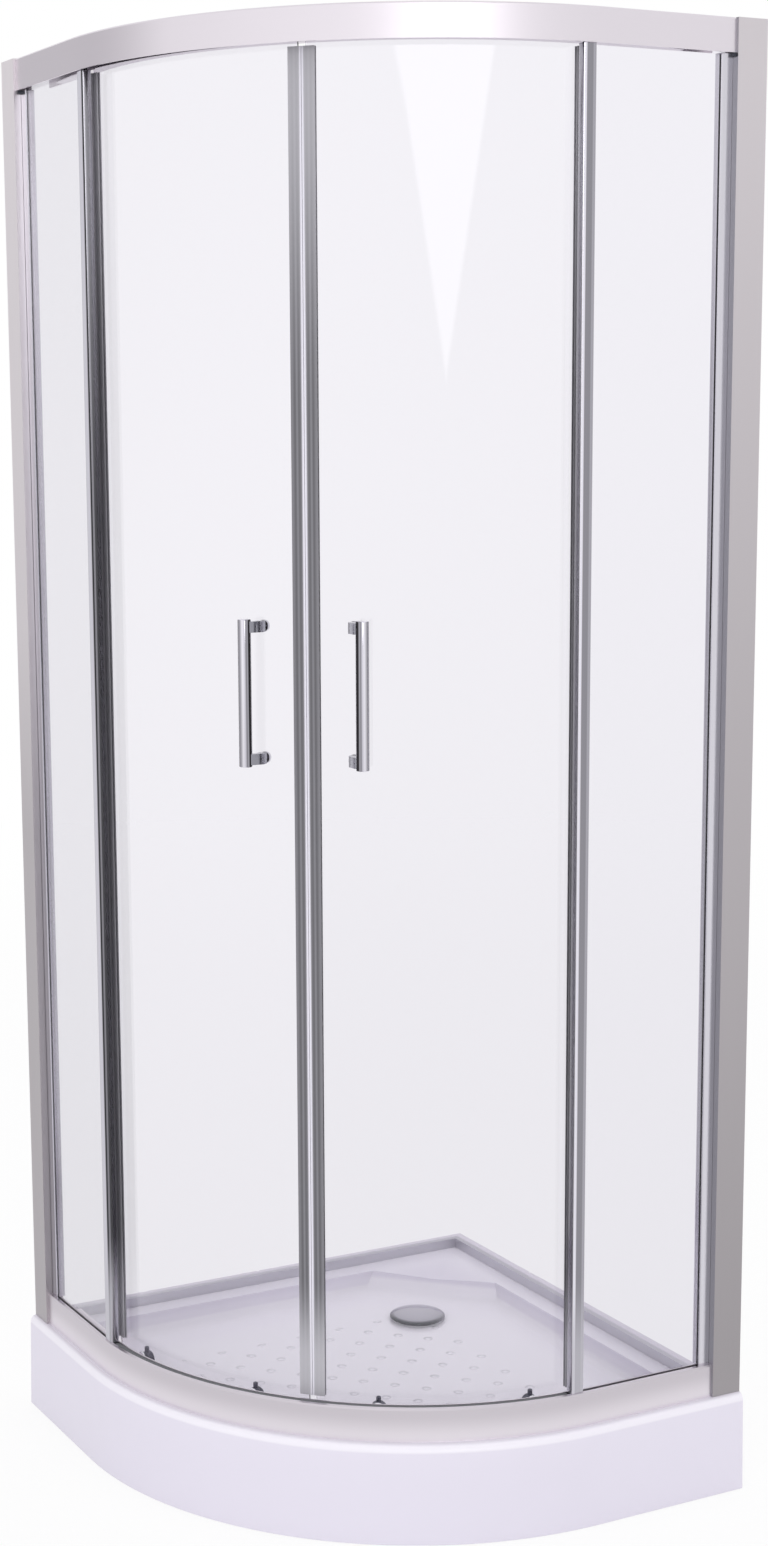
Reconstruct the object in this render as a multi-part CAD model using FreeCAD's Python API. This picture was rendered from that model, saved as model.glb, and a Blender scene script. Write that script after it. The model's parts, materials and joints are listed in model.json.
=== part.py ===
import FreeCAD, Part
import math
import os

# Quadrant shower enclosure on a raised tray, in millimetres.
#
# The origin is on the floor under the middle of the square footprint. The room walls stand on
# the planes x = +HALF and y = +HALF, and the entry is the rounded corner that faces -x, -y.
# The enclosure is its own mirror image in the vertical plane x = y, so each left piece, on the
# x = -HALF face, is modelled once and mirrored to make the right one.
#
# A place on the enclosure is often given as its inset: the distance inwards from the outer line
# of the tray, measured square to the straight sides or towards the centre of the curve.

# ---- overall sizes
SIDE = 800.0                # square footprint
CORNER_RADIUS = 550.0       # outer radius of the rounded corner
OVERALL_HEIGHT = 2070.0
TRAY_HEIGHT = 145.0

# ---- shower tray
TRAY_WALL = 5.0             # thickness of the acrylic shell
TRAY_DRAFT = 3.0            # the apron leans in by this much at its top
TRAY_EDGE_RADIUS = 9.0      # rounded top edge of the apron
FLOOR_DEPTH = 45.0          # of the basin, below the front rim
SHELF_DROP = 9.0            # of the rims along the walls, below the front rim
SHELF_FALL = 5.0            # of the corner shelf towards the basin
UPSTAND_WIDTH = 22.0
UPSTAND_RISE = 5.0          # above the front rim
UPSTAND_END_GAP = 34.0      # between the end of an upstand and the wall profile
STRIP_THICKNESS = 1.6
STRIP_FLANGE = 8.0          # of the strip, over the top of the upstand
BASIN_FRONT_INSET = 82.0    # of the basin's edge under the rail
BASIN_WALL_INSET = 54.0     # of the basin's edge along the walls
BASIN_SLOPE = 8.0           # how far the basin's sides lean in by the floor
BASIN_BOTTOM_RADIUS = 16.0
ROUNDING_STEPS = 3          # flats that make up a rounded edge of the tray
CORNER_CUT_INSET = 143.0    # of the basin corner that is cut off square to the diagonal
CORNER_CUT_SLOPE = 29.0
SHELF_WIDTH = 130.0         # of the fall towards the basin, from the room walls

# ---- under the tray
BOARD_THICKNESS = 12.0
BOARD_MARGIN = 38.0         # from the edge of the basin floor
FRAME_TUBE = 25.0
FRAME_TUBE_WALL = 1.5
FOOT_STUD_RADIUS = 5.0
FOOT_PAD_RADIUS = 20.0
FOOT_PAD_HEIGHT = 9.0
STUD_CLEARANCE = 0.4

# ---- waste
DRAIN_INSET = 204.0         # of the waste's middle, from both room walls
DRAIN_HOLE_RADIUS = 30.0
DRAIN_FLANGE_RADIUS = 41.0
THROAT_DEPTH = 9.0
DRAIN_FLANGE_HEIGHT = 2.0
DRAIN_COVER_RADIUS = 45.0
DRAIN_COVER_HEIGHT = 7.5
DRAIN_COVER_GAP = 2.5       # the water's way in, under the cover's rim
COVER_FOOT_RADIUS = 2.4
TRAP_RADIUS = 48.0
TRAP_DEPTH = 62.0
TRAP_WALL = 3.0
SPIGOT_RADIUS = 20.0
SPIGOT_LENGTH = 66.0        # in front of its collar
COLLAR_RADIUS = 23.0        # at the root of the spigot
COLLAR_LENGTH = 4.0

# ---- rails and wall profiles
RAIL_INSET = 16.0           # of the rail's face
RAIL_DEPTH = 58.0
TOP_RAIL_HEIGHT = 45.0
BOTTOM_RAIL_HEIGHT = 48.0
RAIL_WALL = 2.5
RAIL_BEVEL = 2.2            # along the top edge of a rail's face
GROOVE_SLACK = 1.2          # on each side of a pane in a rail's glazing groove
GROOVE_DEEP = 15.0          # of the lower rail's glazing groove
GROOVE_WALL = 2.0
DECK_HEIGHT = 15.0          # of the lower rail's back edge
DECK_FALL = 2.5             # of the deck towards the shower
LEDGE_RISE = 6.0            # of the upper track, above the bottom of the rail's face
WALL_PROFILE_INSET = 12.0   # of the wall profile's face
WALL_PROFILE_WIDTH = 48.0
WALL_PROFILE_DEPTH = 32.0
PROFILE_WALL = 2.0
GLAZING_INSET = 23.0        # of the glazing profile's face
GLAZING_DEPTH = 18.0
GLAZING_SIGHT = 18.0        # width of glazing profile in sight
GLAZING_HIDDEN = 26.0       # width of it inside the wall profile
SCREW_HOLE_RADIUS = 2.6
WALL_HOLE_PITCH = 850.0

# ---- fixed panels
FIXED_GLASS = 6.0           # thickness
FIXED_GLASS_INSET = 25.0    # of its outer face
GLASS_CLEARANCE = 0.2       # each side of a pane in its slot
FIXED_SLOT_DEPTH = 14.0
END_PROFILE_LEAD = 36.0     # of the panel's free end, past the start of the curve
END_PROFILE_WIDTH = 19.0
END_PROFILE_DEPTH = 13.5
END_PROFILE_INSET = 21.5

# ---- blocks that join the rails to the wall profiles
TONGUE_RISE = 16.0
TONGUE_WIDTH = 14.0
TONGUE_LENGTH = 38.0
HOOK_LENGTH = 20.0
CORNER_STOP_WIDTH = 3.5
CORNER_STOP_HEIGHT = 5.0

# ---- doors
DOOR_GLASS = 5.0
DOOR_GLASS_INSET = 48.0     # of its middle
DOOR_GLASS_BOTTOM = 171.0
DOOR_GLASS_TOP_GAP = 8.0    # below the top of the rail
DOOR_LEAD = 18.0            # of the glass's trailing edge, past the start of the curve
SEAL_LEG = 13.0
SEAL_WALL = 1.4
SEAL_SLACK = 0.2            # a straight seal leg beside the curved pane
MAGNET_NOSE = 3.6
SEAM_GAP = 0.6              # between the two closed doors
EDGE_SEAL_REACH = 10.0      # outwards from the middle of the glass

# ---- rollers and their track
ROLLER_INSET = 58.0         # of a closed door's rollers
OPEN_ROLLER_INSET = 58.93   # of an open door's rear rollers
OPEN_ROLLER_GAP = 71.67     # from the middle of those rollers to the wall profile
FRONT_ROLLER_ANGLE = 10.6   # degrees from the meeting line of the doors
REAR_ROLLER_ANGLE = 35.7
LIP_WIDTH = 2.5
LIP_MARGIN = 26.0           # track beyond the last place of a roller
STOP_LENGTH = 10.0
STOP_WIDTH = 5.0
STOP_HEIGHT = 22.0
WHEEL_RADIUS = 8.0
WHEEL_WIDTH = 6.0
GROOVE_DEPTH = 1.4
ROLLING_GAP = 0.3
AXLE_RADIUS = 2.0
AXLE_HEAD = 3.2
AXLE_CLEARANCE = 0.05
BOTTOM_WHEEL_HEIGHT = 172.5
TOP_WHEEL_DROP = 20.0       # below the top of the rail
HOLE_RADIUS = 5.0           # in the glass, for a roller's hub
HOLE_MARGIN = 11.0          # from the bottom of the glass to the middle of the hole
HUB_CLEARANCE = 0.15
BRACKET_RADIUS = 11.0
PLATE_THICKNESS = 2.8
HOUSING_BOTTOM = 167.5
HOUSING_DEPTH = 11.8
HOUSING_RISE = 15.5         # of the dome, above the middle of the wheel
CAP_RADIUS = 8.0
CAP_HEIGHT = 2.5
SEAT_GAP = 0.13             # behind a flat piece on the hollow side of the curved glass
BUTTON_RADIUS = 3.4
BUTTON_TRAVEL = 3.0
BUTTON_SEAT = 2.8           # of the button in its housing
BUTTON_RISE = 8.0           # above its housing

# ---- handles
HANDLE_LENGTH = 200.0
HANDLE_RADIUS = 9.0
HANDLE_END_BEVEL = 1.3
HANDLE_HEIGHT = 1186.0      # of its middle
HANDLE_STAND_OFF = 22.0     # from the glass to the middle of the bar
POST_FROM_SEAM = 64.0
POST_TO_BAR = 15.5          # along the glass, from the post's bolt to the middle of the bar
POST_WIDTH = 11.0
POST_HEIGHT = 15.0
POST_END_GAP = 3.0          # from the end of the bar
BOLT_RADIUS = 2.8
BOLT_CLEARANCE = 0.15
NUT_RADIUS = 8.0
NUT_HEIGHT = 5.0

# ---- worked out from the sizes above
HALF = SIDE / 2.0
CENTRE = CORNER_RADIUS - HALF           # x and y of the axis of the curve
FLOOR_TOP = TRAY_HEIGHT - FLOOR_DEPTH
SHELF_TOP = TRAY_HEIGHT - SHELF_DROP
UPSTAND_TOP = TRAY_HEIGHT + UPSTAND_RISE
RAIL_BACK = RAIL_INSET + RAIL_DEPTH
BOTTOM_RAIL_TOP = TRAY_HEIGHT + BOTTOM_RAIL_HEIGHT
TOP_RAIL_BOTTOM = OVERALL_HEIGHT - TOP_RAIL_HEIGHT
RAIL_END = HALF - WALL_PROFILE_WIDTH
DRAIN_OFFSET = HALF - DRAIN_INSET       # x and y of the waste's middle
CORNER_CUT = HALF - CORNER_CUT_INSET    # x and y of the cut corner, along the walls
END_PROFILE_START = CENTRE - END_PROFILE_LEAD
DOOR_TAIL = CENTRE - DOOR_LEAD
SLOT_WIDTH = FIXED_GLASS + 2.0 * GLASS_CLEARANCE
FIXED_SLOT_INSET = FIXED_GLASS_INSET - GLASS_CLEARANCE
GROOVE_IN = FIXED_GLASS_INSET - GROOVE_SLACK
GROOVE_OUT = FIXED_GLASS_INSET + FIXED_GLASS + GROOVE_SLACK
DOOR_RADIUS = CORNER_RADIUS - DOOR_GLASS_INSET
DOOR_GLASS_TOP = OVERALL_HEIGHT - DOOR_GLASS_TOP_GAP
ROLLER_RADIUS = CORNER_RADIUS - ROLLER_INSET
TOP_WHEEL_HEIGHT = OVERALL_HEIGHT - TOP_WHEEL_DROP
TOP_BLOCK_LOW = OVERALL_HEIGHT - RAIL_WALL - TONGUE_RISE
BOTTOM_BLOCK_LOW = TRAY_HEIGHT + DECK_HEIGHT + DECK_FALL + 0.3
GROOVE_RADIUS = WHEEL_RADIUS - GROOVE_DEPTH
SEAM_ANGLE = 225.0          # of the plane where the doors meet, about the axis of the curve
CURVE_START = SEAM_ANGLE - 45.0
CURVE_END = SEAM_ANGLE + 45.0
UP = FreeCAD.Vector(0, 0, 1)
MIRROR_NORMAL = FreeCAD.Vector(1, -1, 0)

os.makedirs("parts", exist_ok=True)


# ---- helpers
def vec(x, y, z=0.0):
    return FreeCAD.Vector(x, y, z)


def save(name, *solids):
    """Write the solids of one node."""
    shape = solids[0] if len(solids) == 1 else Part.makeCompound(list(solids))
    shape.exportStep("parts/" + name + ".step")


def save_pair(name, *solids):
    """Write a left node and its mirror image on the right."""
    save(name + "_left", *solids)
    save(name + "_right", *[to_right(solid) for solid in solids])


def save_both(name, solid):
    """Write a left piece and its mirror image on the right as one node."""
    save(name, solid, to_right(solid))


def to_right(shape):
    return shape.mirror(vec(0, 0), MIRROR_NORMAL)


def face_of(points):
    return Part.Face(Part.makePolygon(points + [points[0]]))


def box(low, high):
    size = high - low
    return Part.makeBox(size.x, size.y, size.z, low)


def cylinder(radius, start, end):
    along = end - start
    return Part.makeCylinder(radius, along.Length, start, along)


def loft(lower, upper):
    return Part.makeLoft([lower, upper], True, True)


def polar(radius, angle, height=0.0):
    """A point about the axis of the rounded corner, angle in degrees."""
    turn = math.radians(angle)
    return vec(CENTRE + radius * math.cos(turn), CENTRE + radius * math.sin(turn), height)


def upright(points, bottom, top):
    """A straight upright bar whose plan is a polygon on the left face, as (inset, y)."""
    plan = face_of([vec(-HALF + inset, y, bottom) for inset, y in points])
    return plan.extrude(vec(0, 0, top - bottom))


def rectangle(low_a, high_a, low_b, high_b):
    return [(low_a, low_b), (high_a, low_b), (high_a, high_b), (low_a, high_b)]


def rail_face(points):
    """A rail's section at the start of the curve, from points of inset and height."""
    return face_of([vec(-HALF + inset, CENTRE, height) for inset, height in points])


def follow_rail(face):
    """Carry a section along the left side, the quarter curve and the right side."""
    straight = face.extrude(vec(0, RAIL_END - CENTRE, 0))
    curve = face.revolve(vec(CENTRE, CENTRE), UP, 90.0)
    return straight.fuse([curve, to_right(straight)]).removeSplitter()


# ---- the path of the rollers, for the left door
# A door turns about one upright axis. That axis lies on the line that halves the angle between
# its two rollers, so both of them keep to one track. It is as far from the place where the rear
# roller stands when the door is open as from the place where it stands when the door is closed.
FRONT_ROLLER = SEAM_ANGLE - FRONT_ROLLER_ANGLE
REAR_ROLLER = SEAM_ANGLE - REAR_ROLLER_ANGLE
MIDDLE_ANGLE = (FRONT_ROLLER + REAR_ROLLER) / 2.0
CLOSED_REAR = polar(ROLLER_RADIUS, REAR_ROLLER)
OPEN_REAR = vec(-HALF + OPEN_ROLLER_INSET, RAIL_END - OPEN_ROLLER_GAP)
MIDDLE_LINE = polar(1.0, MIDDLE_ANGLE) - polar(0.0, MIDDLE_ANGLE)
AXIS_SHIFT = (((OPEN_REAR - vec(CENTRE, CENTRE)).Length ** 2 - ROLLER_RADIUS ** 2)
              / (2.0 * (CLOSED_REAR - OPEN_REAR).dot(MIDDLE_LINE)))
DOOR_AXIS = polar(-AXIS_SHIFT, MIDDLE_ANGLE)
TRACK_RADIUS = (CLOSED_REAR - DOOR_AXIS).Length


def about_door_axis(spot):
    """Angle of a place about the door's axis."""
    arm = spot - DOOR_AXIS
    return math.degrees(math.atan2(arm.y, arm.x)) % 360.0


OPEN_ANGLE = about_door_axis(OPEN_REAR)
FRONT_ANGLE = about_door_axis(polar(ROLLER_RADIUS, FRONT_ROLLER))


def track_ring(inner, outer, bottom, top, front_margin=LIP_MARGIN, ridge=0.0):
    """Part of a ring about the left door's axis, as long as its rollers' path."""
    first = OPEN_ANGLE - math.degrees(LIP_MARGIN / TRACK_RADIUS)
    last = FRONT_ANGLE + math.degrees(front_margin / TRACK_RADIUS)
    ring = ring_wall(inner, outer, first, last, bottom, top, ridge)
    ring.translate(DOOR_AXIS)
    return ring


def ring_wall(inner, outer, first, last, bottom, top, ridge=0.0):
    """Part of an upright ring about the z axis, between two angles in degrees."""
    crest = [vec((inner + outer) / 2.0, 0, top)] if ridge else []
    section = face_of([vec(inner, 0, bottom), vec(outer, 0, bottom), vec(outer, 0, top - ridge)]
                      + crest + [vec(inner, 0, top - ridge)])
    ring = section.revolve(vec(0, 0), UP, last - first)
    ring.rotate(vec(0, 0), UP, first)
    return ring


LIP_INNER = TRACK_RADIUS - LIP_WIDTH / 2.0
LIP_OUTER = TRACK_RADIUS + LIP_WIDTH / 2.0
LIP_RIDGE = GROOVE_DEPTH * LIP_WIDTH / WHEEL_WIDTH      # the lip's top fits the wheels' groove
STOP_DISTANCE = WHEEL_RADIUS + ROLLING_GAP      # from the middle of an open door's rear wheel
TRACK_END = OPEN_REAR.y + STOP_DISTANCE + STOP_LENGTH


# ---- shower tray
def tray_outline(front, wall, height):
    """The tray's plan, set back from its apron and from the room walls."""
    near = -HALF + front
    far = HALF - wall
    arc = Part.Arc(vec(near, CENTRE, height), polar(CORNER_RADIUS - front, SEAM_ANGLE, height),
                   vec(CENTRE, near, height))
    corners = [vec(CENTRE, near, height), vec(far, near, height), vec(far, far, height),
               vec(near, far, height), vec(near, CENTRE, height)]
    lines = [Part.LineSegment(a, b).toShape() for a, b in zip(corners, corners[1:])]
    return Part.Wire([arc.toShape()] + lines)


def basin_outline(front, wall, cut, height):
    """The basin's plan: as the tray's, with the corner between the walls cut off."""
    near = -HALF + front
    far = HALF - wall
    arc = Part.Arc(vec(near, CENTRE, height), polar(CORNER_RADIUS - front, SEAM_ANGLE, height),
                   vec(CENTRE, near, height))
    short = 2.0 * cut - far
    corners = [vec(CENTRE, near, height), vec(far, near, height), vec(far, short, height),
               vec(short, far, height), vec(near, far, height), vec(near, CENTRE, height)]
    lines = [Part.LineSegment(a, b).toShape() for a, b in zip(corners, corners[1:])]
    return Part.Wire([arc.toShape()] + lines)


def rounding(radius):
    """Steps round a quarter circle: pairs of how far in from its side and above its foot."""
    turns = [math.radians(90.0 * step / ROUNDING_STEPS) for step in range(ROUNDING_STEPS + 1)]
    return [(radius * (1.0 - math.sin(turn)), radius * (1.0 - math.cos(turn))) for turn in turns]


def basin_plan(rise, back, skin):
    """The basin's plan at a height above its floor, with its sides moved in by back."""
    share = rise / (SHELF_TOP - FLOOR_TOP)
    slope = BASIN_SLOPE * (1.0 - share) + back - skin
    cut = CORNER_CUT + CORNER_CUT_SLOPE * share / 2.0 - back + skin
    return basin_outline(BASIN_FRONT_INSET + slope, BASIN_WALL_INSET + slope, cut,
                         FLOOR_TOP + rise)


def basin_hollow():
    plans = [basin_plan(rise, back, 0.0) for back, rise in rounding(BASIN_BOTTOM_RADIUS)]
    return Part.makeLoft(plans + [basin_plan(SHELF_TOP - FLOOR_TOP, 0.0, 0.0)], True, True)


def basin_shell():
    """The form that wraps round the basin, one wall's thickness outside it."""
    lower = basin_plan(0.0, 0.0, TRAY_WALL)
    lower.translate(vec(0, 0, -TRAY_WALL))
    return loft(lower, basin_plan(SHELF_TOP - FLOOR_TOP, 0.0, TRAY_WALL))


def tray_solid():
    edge = [tray_outline(TRAY_DRAFT + rise, 0, TRAY_HEIGHT - back)
            for back, rise in rounding(TRAY_EDGE_RADIUS)]
    body = Part.makeLoft([tray_outline(0, 0, 0)] + edge, True, True)
    inside = loft(tray_outline(TRAY_WALL, TRAY_WALL, -1.0),
                  tray_outline(TRAY_WALL + TRAY_DRAFT, TRAY_WALL, TRAY_HEIGHT - TRAY_WALL))
    shelf_low = SHELF_TOP - SHELF_FALL
    wrap = BASIN_FRONT_INSET - TRAY_WALL
    plate = loft(tray_outline(wrap, TRAY_WALL, shelf_low - TRAY_WALL),
                 tray_outline(wrap, TRAY_WALL, TRAY_HEIGHT - 1.0))
    upstand_start = -HALF + WALL_PROFILE_INSET + WALL_PROFILE_DEPTH + UPSTAND_END_GAP
    upstand = box(vec(HALF - UPSTAND_WIDTH, upstand_start, TRAY_HEIGHT - 1.0),
                  vec(HALF, HALF, UPSTAND_TOP))
    body = body.cut(inside).fuse([plate, basin_shell(), upstand, to_right(upstand)])
    shelf = loft(tray_outline(BASIN_FRONT_INSET, SHELF_WIDTH, shelf_low),
                 tray_outline(BASIN_FRONT_INSET, UPSTAND_WIDTH, SHELF_TOP))
    above = loft(tray_outline(BASIN_FRONT_INSET, UPSTAND_WIDTH, SHELF_TOP),
                 tray_outline(BASIN_FRONT_INSET, UPSTAND_WIDTH, UPSTAND_TOP + 1.0))
    drain = vec(DRAIN_OFFSET, DRAIN_OFFSET, 0)
    hole = cylinder(DRAIN_HOLE_RADIUS, drain, drain + vec(0, 0, TRAY_HEIGHT))
    return body.cut([basin_hollow(), shelf, above, hole]).removeSplitter()


save("shower_tray", tray_solid())


# ---- support under the tray
def support_board():
    """Board bonded under the floor, with a hole for the waste."""
    front = BASIN_FRONT_INSET + BASIN_SLOPE + BOARD_MARGIN
    wall = BASIN_WALL_INSET + BASIN_SLOPE + BOARD_MARGIN
    low = FLOOR_TOP - TRAY_WALL - BOARD_THICKNESS
    board = loft(basin_outline(front, wall, CORNER_CUT - BOARD_MARGIN, low),
                 basin_outline(front, wall, CORNER_CUT - BOARD_MARGIN, low + BOARD_THICKNESS))
    drain = vec(DRAIN_OFFSET, DRAIN_OFFSET, low - 1.0)
    return board.cut(cylinder(TRAP_RADIUS + 14.0, drain, drain + vec(0, 0, BOARD_THICKNESS + 2)))


FRAME_TOP = FLOOR_TOP - TRAY_WALL - BOARD_THICKNESS
FRAME_BOTTOM = FRAME_TOP - FRAME_TUBE
FRAME_SPAN = 250.0          # from the middle to the end of a cross tube
FRAME_LINE = 90.0           # of the two cross tubes, from the middle towards the entry
FOOT_SPAN = 225.0
FOOT_SPOTS = [(-FOOT_SPAN, -FRAME_LINE), (FOOT_SPAN, -FRAME_LINE), (-FRAME_LINE, FOOT_SPAN),
              (-FRAME_LINE, -FRAME_LINE)]


def square_tube(start, end):
    """A square steel tube between two points on its lower middle line, along x or y."""
    half = FRAME_TUBE / 2.0
    side = vec(half, 0) if start.x == end.x else vec(0, half)
    outer = box(start - side, end + side + vec(0, 0, FRAME_TUBE))
    thick = FRAME_TUBE_WALL
    inner_side = side * ((half - thick) / half)
    inner = box(start - inner_side + vec(0, 0, thick),
                end + inner_side + vec(0, 0, FRAME_TUBE - thick))
    return outer, inner


def leg_frame():
    """Two crossed tubes, welded, with a hole for each foot's stud."""
    line = -FRAME_LINE
    bars = [square_tube(vec(-FRAME_SPAN, line, FRAME_BOTTOM), vec(FRAME_SPAN, line, FRAME_BOTTOM)),
            square_tube(vec(line, line, FRAME_BOTTOM), vec(line, FRAME_SPAN, FRAME_BOTTOM))]
    body = bars[0][0].fuse(bars[1][0]).cut([bars[0][1], bars[1][1]])
    holes = [cylinder(FOOT_STUD_RADIUS + STUD_CLEARANCE, vec(x, y, FRAME_BOTTOM - 1),
                      vec(x, y, FRAME_TOP - FRAME_TUBE_WALL - 0.5)) for x, y in FOOT_SPOTS]
    return body.cut(holes).removeSplitter()


def tray_foot(x, y):
    """A threaded stud moulded into a floor pad, with its lock nut under the tube."""
    pad = cylinder(FOOT_PAD_RADIUS, vec(x, y), vec(x, y, FOOT_PAD_HEIGHT))
    stud = cylinder(FOOT_STUD_RADIUS, vec(x, y, FOOT_PAD_HEIGHT - 1.0),
                    vec(x, y, FRAME_TOP - FRAME_TUBE_WALL - 1.0))
    return pad.fuse(stud).removeSplitter()


def lock_nut(x, y):
    """A hexagon nut that bears on the underside of the tube."""
    corners = [vec(x + 9.8 * math.cos(math.radians(turn)), y + 9.8 * math.sin(math.radians(turn)),
                   FRAME_BOTTOM - 8.0) for turn in range(0, 360, 60)]
    nut = face_of(corners).extrude(vec(0, 0, 8.0))
    return nut.cut(cylinder(FOOT_STUD_RADIUS, vec(x, y, 0), vec(x, y, FRAME_TOP)))


save("tray_board", support_board())
save("leg_frame", leg_frame())
save("tray_feet", *[tray_foot(x, y) for x, y in FOOT_SPOTS])
save("foot_nuts", *[lock_nut(x, y) for x, y in FOOT_SPOTS])


# ---- waste
def turned(points, x=DRAIN_OFFSET, y=DRAIN_OFFSET):
    """A solid of revolution about an upright axis, from points of radius and height."""
    section = face_of([vec(x + radius, y, height) for radius, height in points])
    return section.revolve(vec(x, y), UP, 360.0)


def drain_flange():
    """Waste ring on the floor, with a throat through it and a ledge for the cover's feet."""
    outer = DRAIN_HOLE_RADIUS - 0.5
    inner = outer - 2.0
    top = FLOOR_TOP + DRAIN_FLANGE_HEIGHT
    low = FLOOR_TOP - THROAT_DEPTH
    return turned([(inner - 5.5, low), (outer, low), (outer, FLOOR_TOP),
                   (DRAIN_FLANGE_RADIUS, FLOOR_TOP), (DRAIN_FLANGE_RADIUS, top), (inner, top),
                   (inner, low + 2.0), (inner - 5.5, low + 2.0)])


def drain_cover():
    """A shallow dome that stands clear of the flange on three feet in its throat."""
    rim = FLOOR_TOP + DRAIN_FLANGE_HEIGHT + DRAIN_COVER_GAP
    crown = rim + DRAIN_COVER_HEIGHT
    thick = 2.0
    recess = DRAIN_COVER_RADIUS - 2.0 * thick
    cover = turned([(DRAIN_COVER_RADIUS, rim), (DRAIN_COVER_RADIUS, rim + thick),
                    (DRAIN_COVER_RADIUS * 0.6, crown), (0.0, crown), (0.0, rim + thick),
                    (recess, rim + thick), (recess, rim)])
    low = FLOOR_TOP - THROAT_DEPTH + 2.0
    feet = []
    for turn in (30.0, 150.0, 270.0):
        out = DRAIN_HOLE_RADIUS - 6.4
        spot = vec(DRAIN_OFFSET + out * math.cos(math.radians(turn)),
                   DRAIN_OFFSET + out * math.sin(math.radians(turn)), low)
        feet.append(cylinder(COVER_FOOT_RADIUS, spot, spot + vec(0, 0, rim + 3.5 - low)))
    return cover.fuse(feet).removeSplitter()


def drain_trap():
    """Trap body under the floor with its outlet spigot, open at both ends."""
    top = FLOOR_TOP - TRAY_WALL
    low = top - TRAP_DEPTH
    neck = DRAIN_HOLE_RADIUS + 0.5
    flange = TRAP_RADIUS + 10.0
    inner = TRAP_RADIUS - TRAP_WALL
    shell = turned([(neck, top), (flange, top), (flange, top - 6.0), (TRAP_RADIUS, top - 6.0),
                    (TRAP_RADIUS, low), (0.0, low), (0.0, low + TRAP_WALL),
                    (inner, low + TRAP_WALL), (inner, top - 9.0), (neck, top - 9.0)])
    level = low + 8.0 + SPIGOT_RADIUS
    start = vec(DRAIN_OFFSET, DRAIN_OFFSET, level)
    out = vec(math.sqrt(0.5), -math.sqrt(0.5))
    root = start + out * (TRAP_RADIUS + COLLAR_LENGTH)
    end = root + out * SPIGOT_LENGTH
    room = cylinder(inner + 1.0, vec(DRAIN_OFFSET, DRAIN_OFFSET, low),
                    vec(DRAIN_OFFSET, DRAIN_OFFSET, top))
    pipe = cylinder(SPIGOT_RADIUS, start, end).fuse(cylinder(COLLAR_RADIUS, start, root))
    bore = cylinder(SPIGOT_RADIUS - TRAP_WALL, start, end + out)
    return shell.fuse(pipe.cut(room)).cut(bore).removeSplitter()


save("drain_flange", drain_flange())
save("drain_cover", drain_cover())
save("drain_trap", drain_trap())


# ---- trim along the walls
def wall_strip():
    """Angle trim on the upstand of the y = +HALF wall, mitred in the corner of the walls."""
    inner = HALF - UPSTAND_WIDTH
    face = inner - STRIP_THICKNESS
    back = inner + STRIP_FLANGE
    start = -HALF + WALL_PROFILE_INSET + WALL_PROFILE_DEPTH + UPSTAND_END_GAP + 2.0
    leg = face_of([vec(start, face, SHELF_TOP), vec(face, face, SHELF_TOP),
                   vec(inner, inner, SHELF_TOP), vec(start, inner, SHELF_TOP)])
    flange = face_of([vec(start, face, UPSTAND_TOP), vec(face, face, UPSTAND_TOP),
                      vec(back, back, UPSTAND_TOP), vec(start, back, UPSTAND_TOP)])
    strip = leg.extrude(vec(0, 0, UPSTAND_TOP - SHELF_TOP))
    strip = strip.fuse(flange.extrude(vec(0, 0, STRIP_THICKNESS))).removeSplitter()
    rim_end = box(vec(-HALF, face - 1.0, SHELF_TOP - 1.0),
                  vec(-HALF + BASIN_FRONT_INSET, HALF, TRAY_HEIGHT))
    return strip.cut(rim_end)


save_pair("wall_strip", wall_strip())


# ---- rails
def bottom_rail():
    """Hollow sill with a glazing groove, a sloping deck and the lip for the lower wheels."""
    low = TRAY_HEIGHT
    top = BOTTOM_RAIL_TOP
    wall = RAIL_WALL
    groove_low = top - GROOVE_DEEP
    deck = low + DECK_HEIGHT
    lip_top = BOTTOM_WHEEL_HEIGHT - GROOVE_RADIUS - ROLLING_GAP
    outer = [(RAIL_INSET, low), (RAIL_INSET, top - RAIL_BEVEL), (RAIL_INSET + RAIL_BEVEL, top),
             (GROOVE_IN, top), (GROOVE_IN, groove_low), (GROOVE_OUT, groove_low),
             (GROOVE_OUT, top), (GROOVE_OUT + GROOVE_WALL, top),
             (GROOVE_OUT + GROOVE_WALL, deck + DECK_FALL), (RAIL_BACK, deck), (RAIL_BACK, low)]
    hollow = [(RAIL_INSET + wall, low + wall), (RAIL_INSET + wall, top - wall),
              (GROOVE_IN - wall, top - wall), (GROOVE_IN - wall, groove_low - wall),
              (GROOVE_OUT, groove_low - wall), (GROOVE_OUT, deck),
              (RAIL_BACK - wall, deck - wall), (RAIL_BACK - wall, low + wall)]
    rail = follow_rail(rail_face(outer)).cut(follow_rail(rail_face(hollow)))
    lip = track_ring(LIP_INNER, LIP_OUTER, deck - 0.5, lip_top, ridge=LIP_RIDGE)
    return rail.fuse([lip, to_right(lip)]).removeSplitter()


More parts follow.
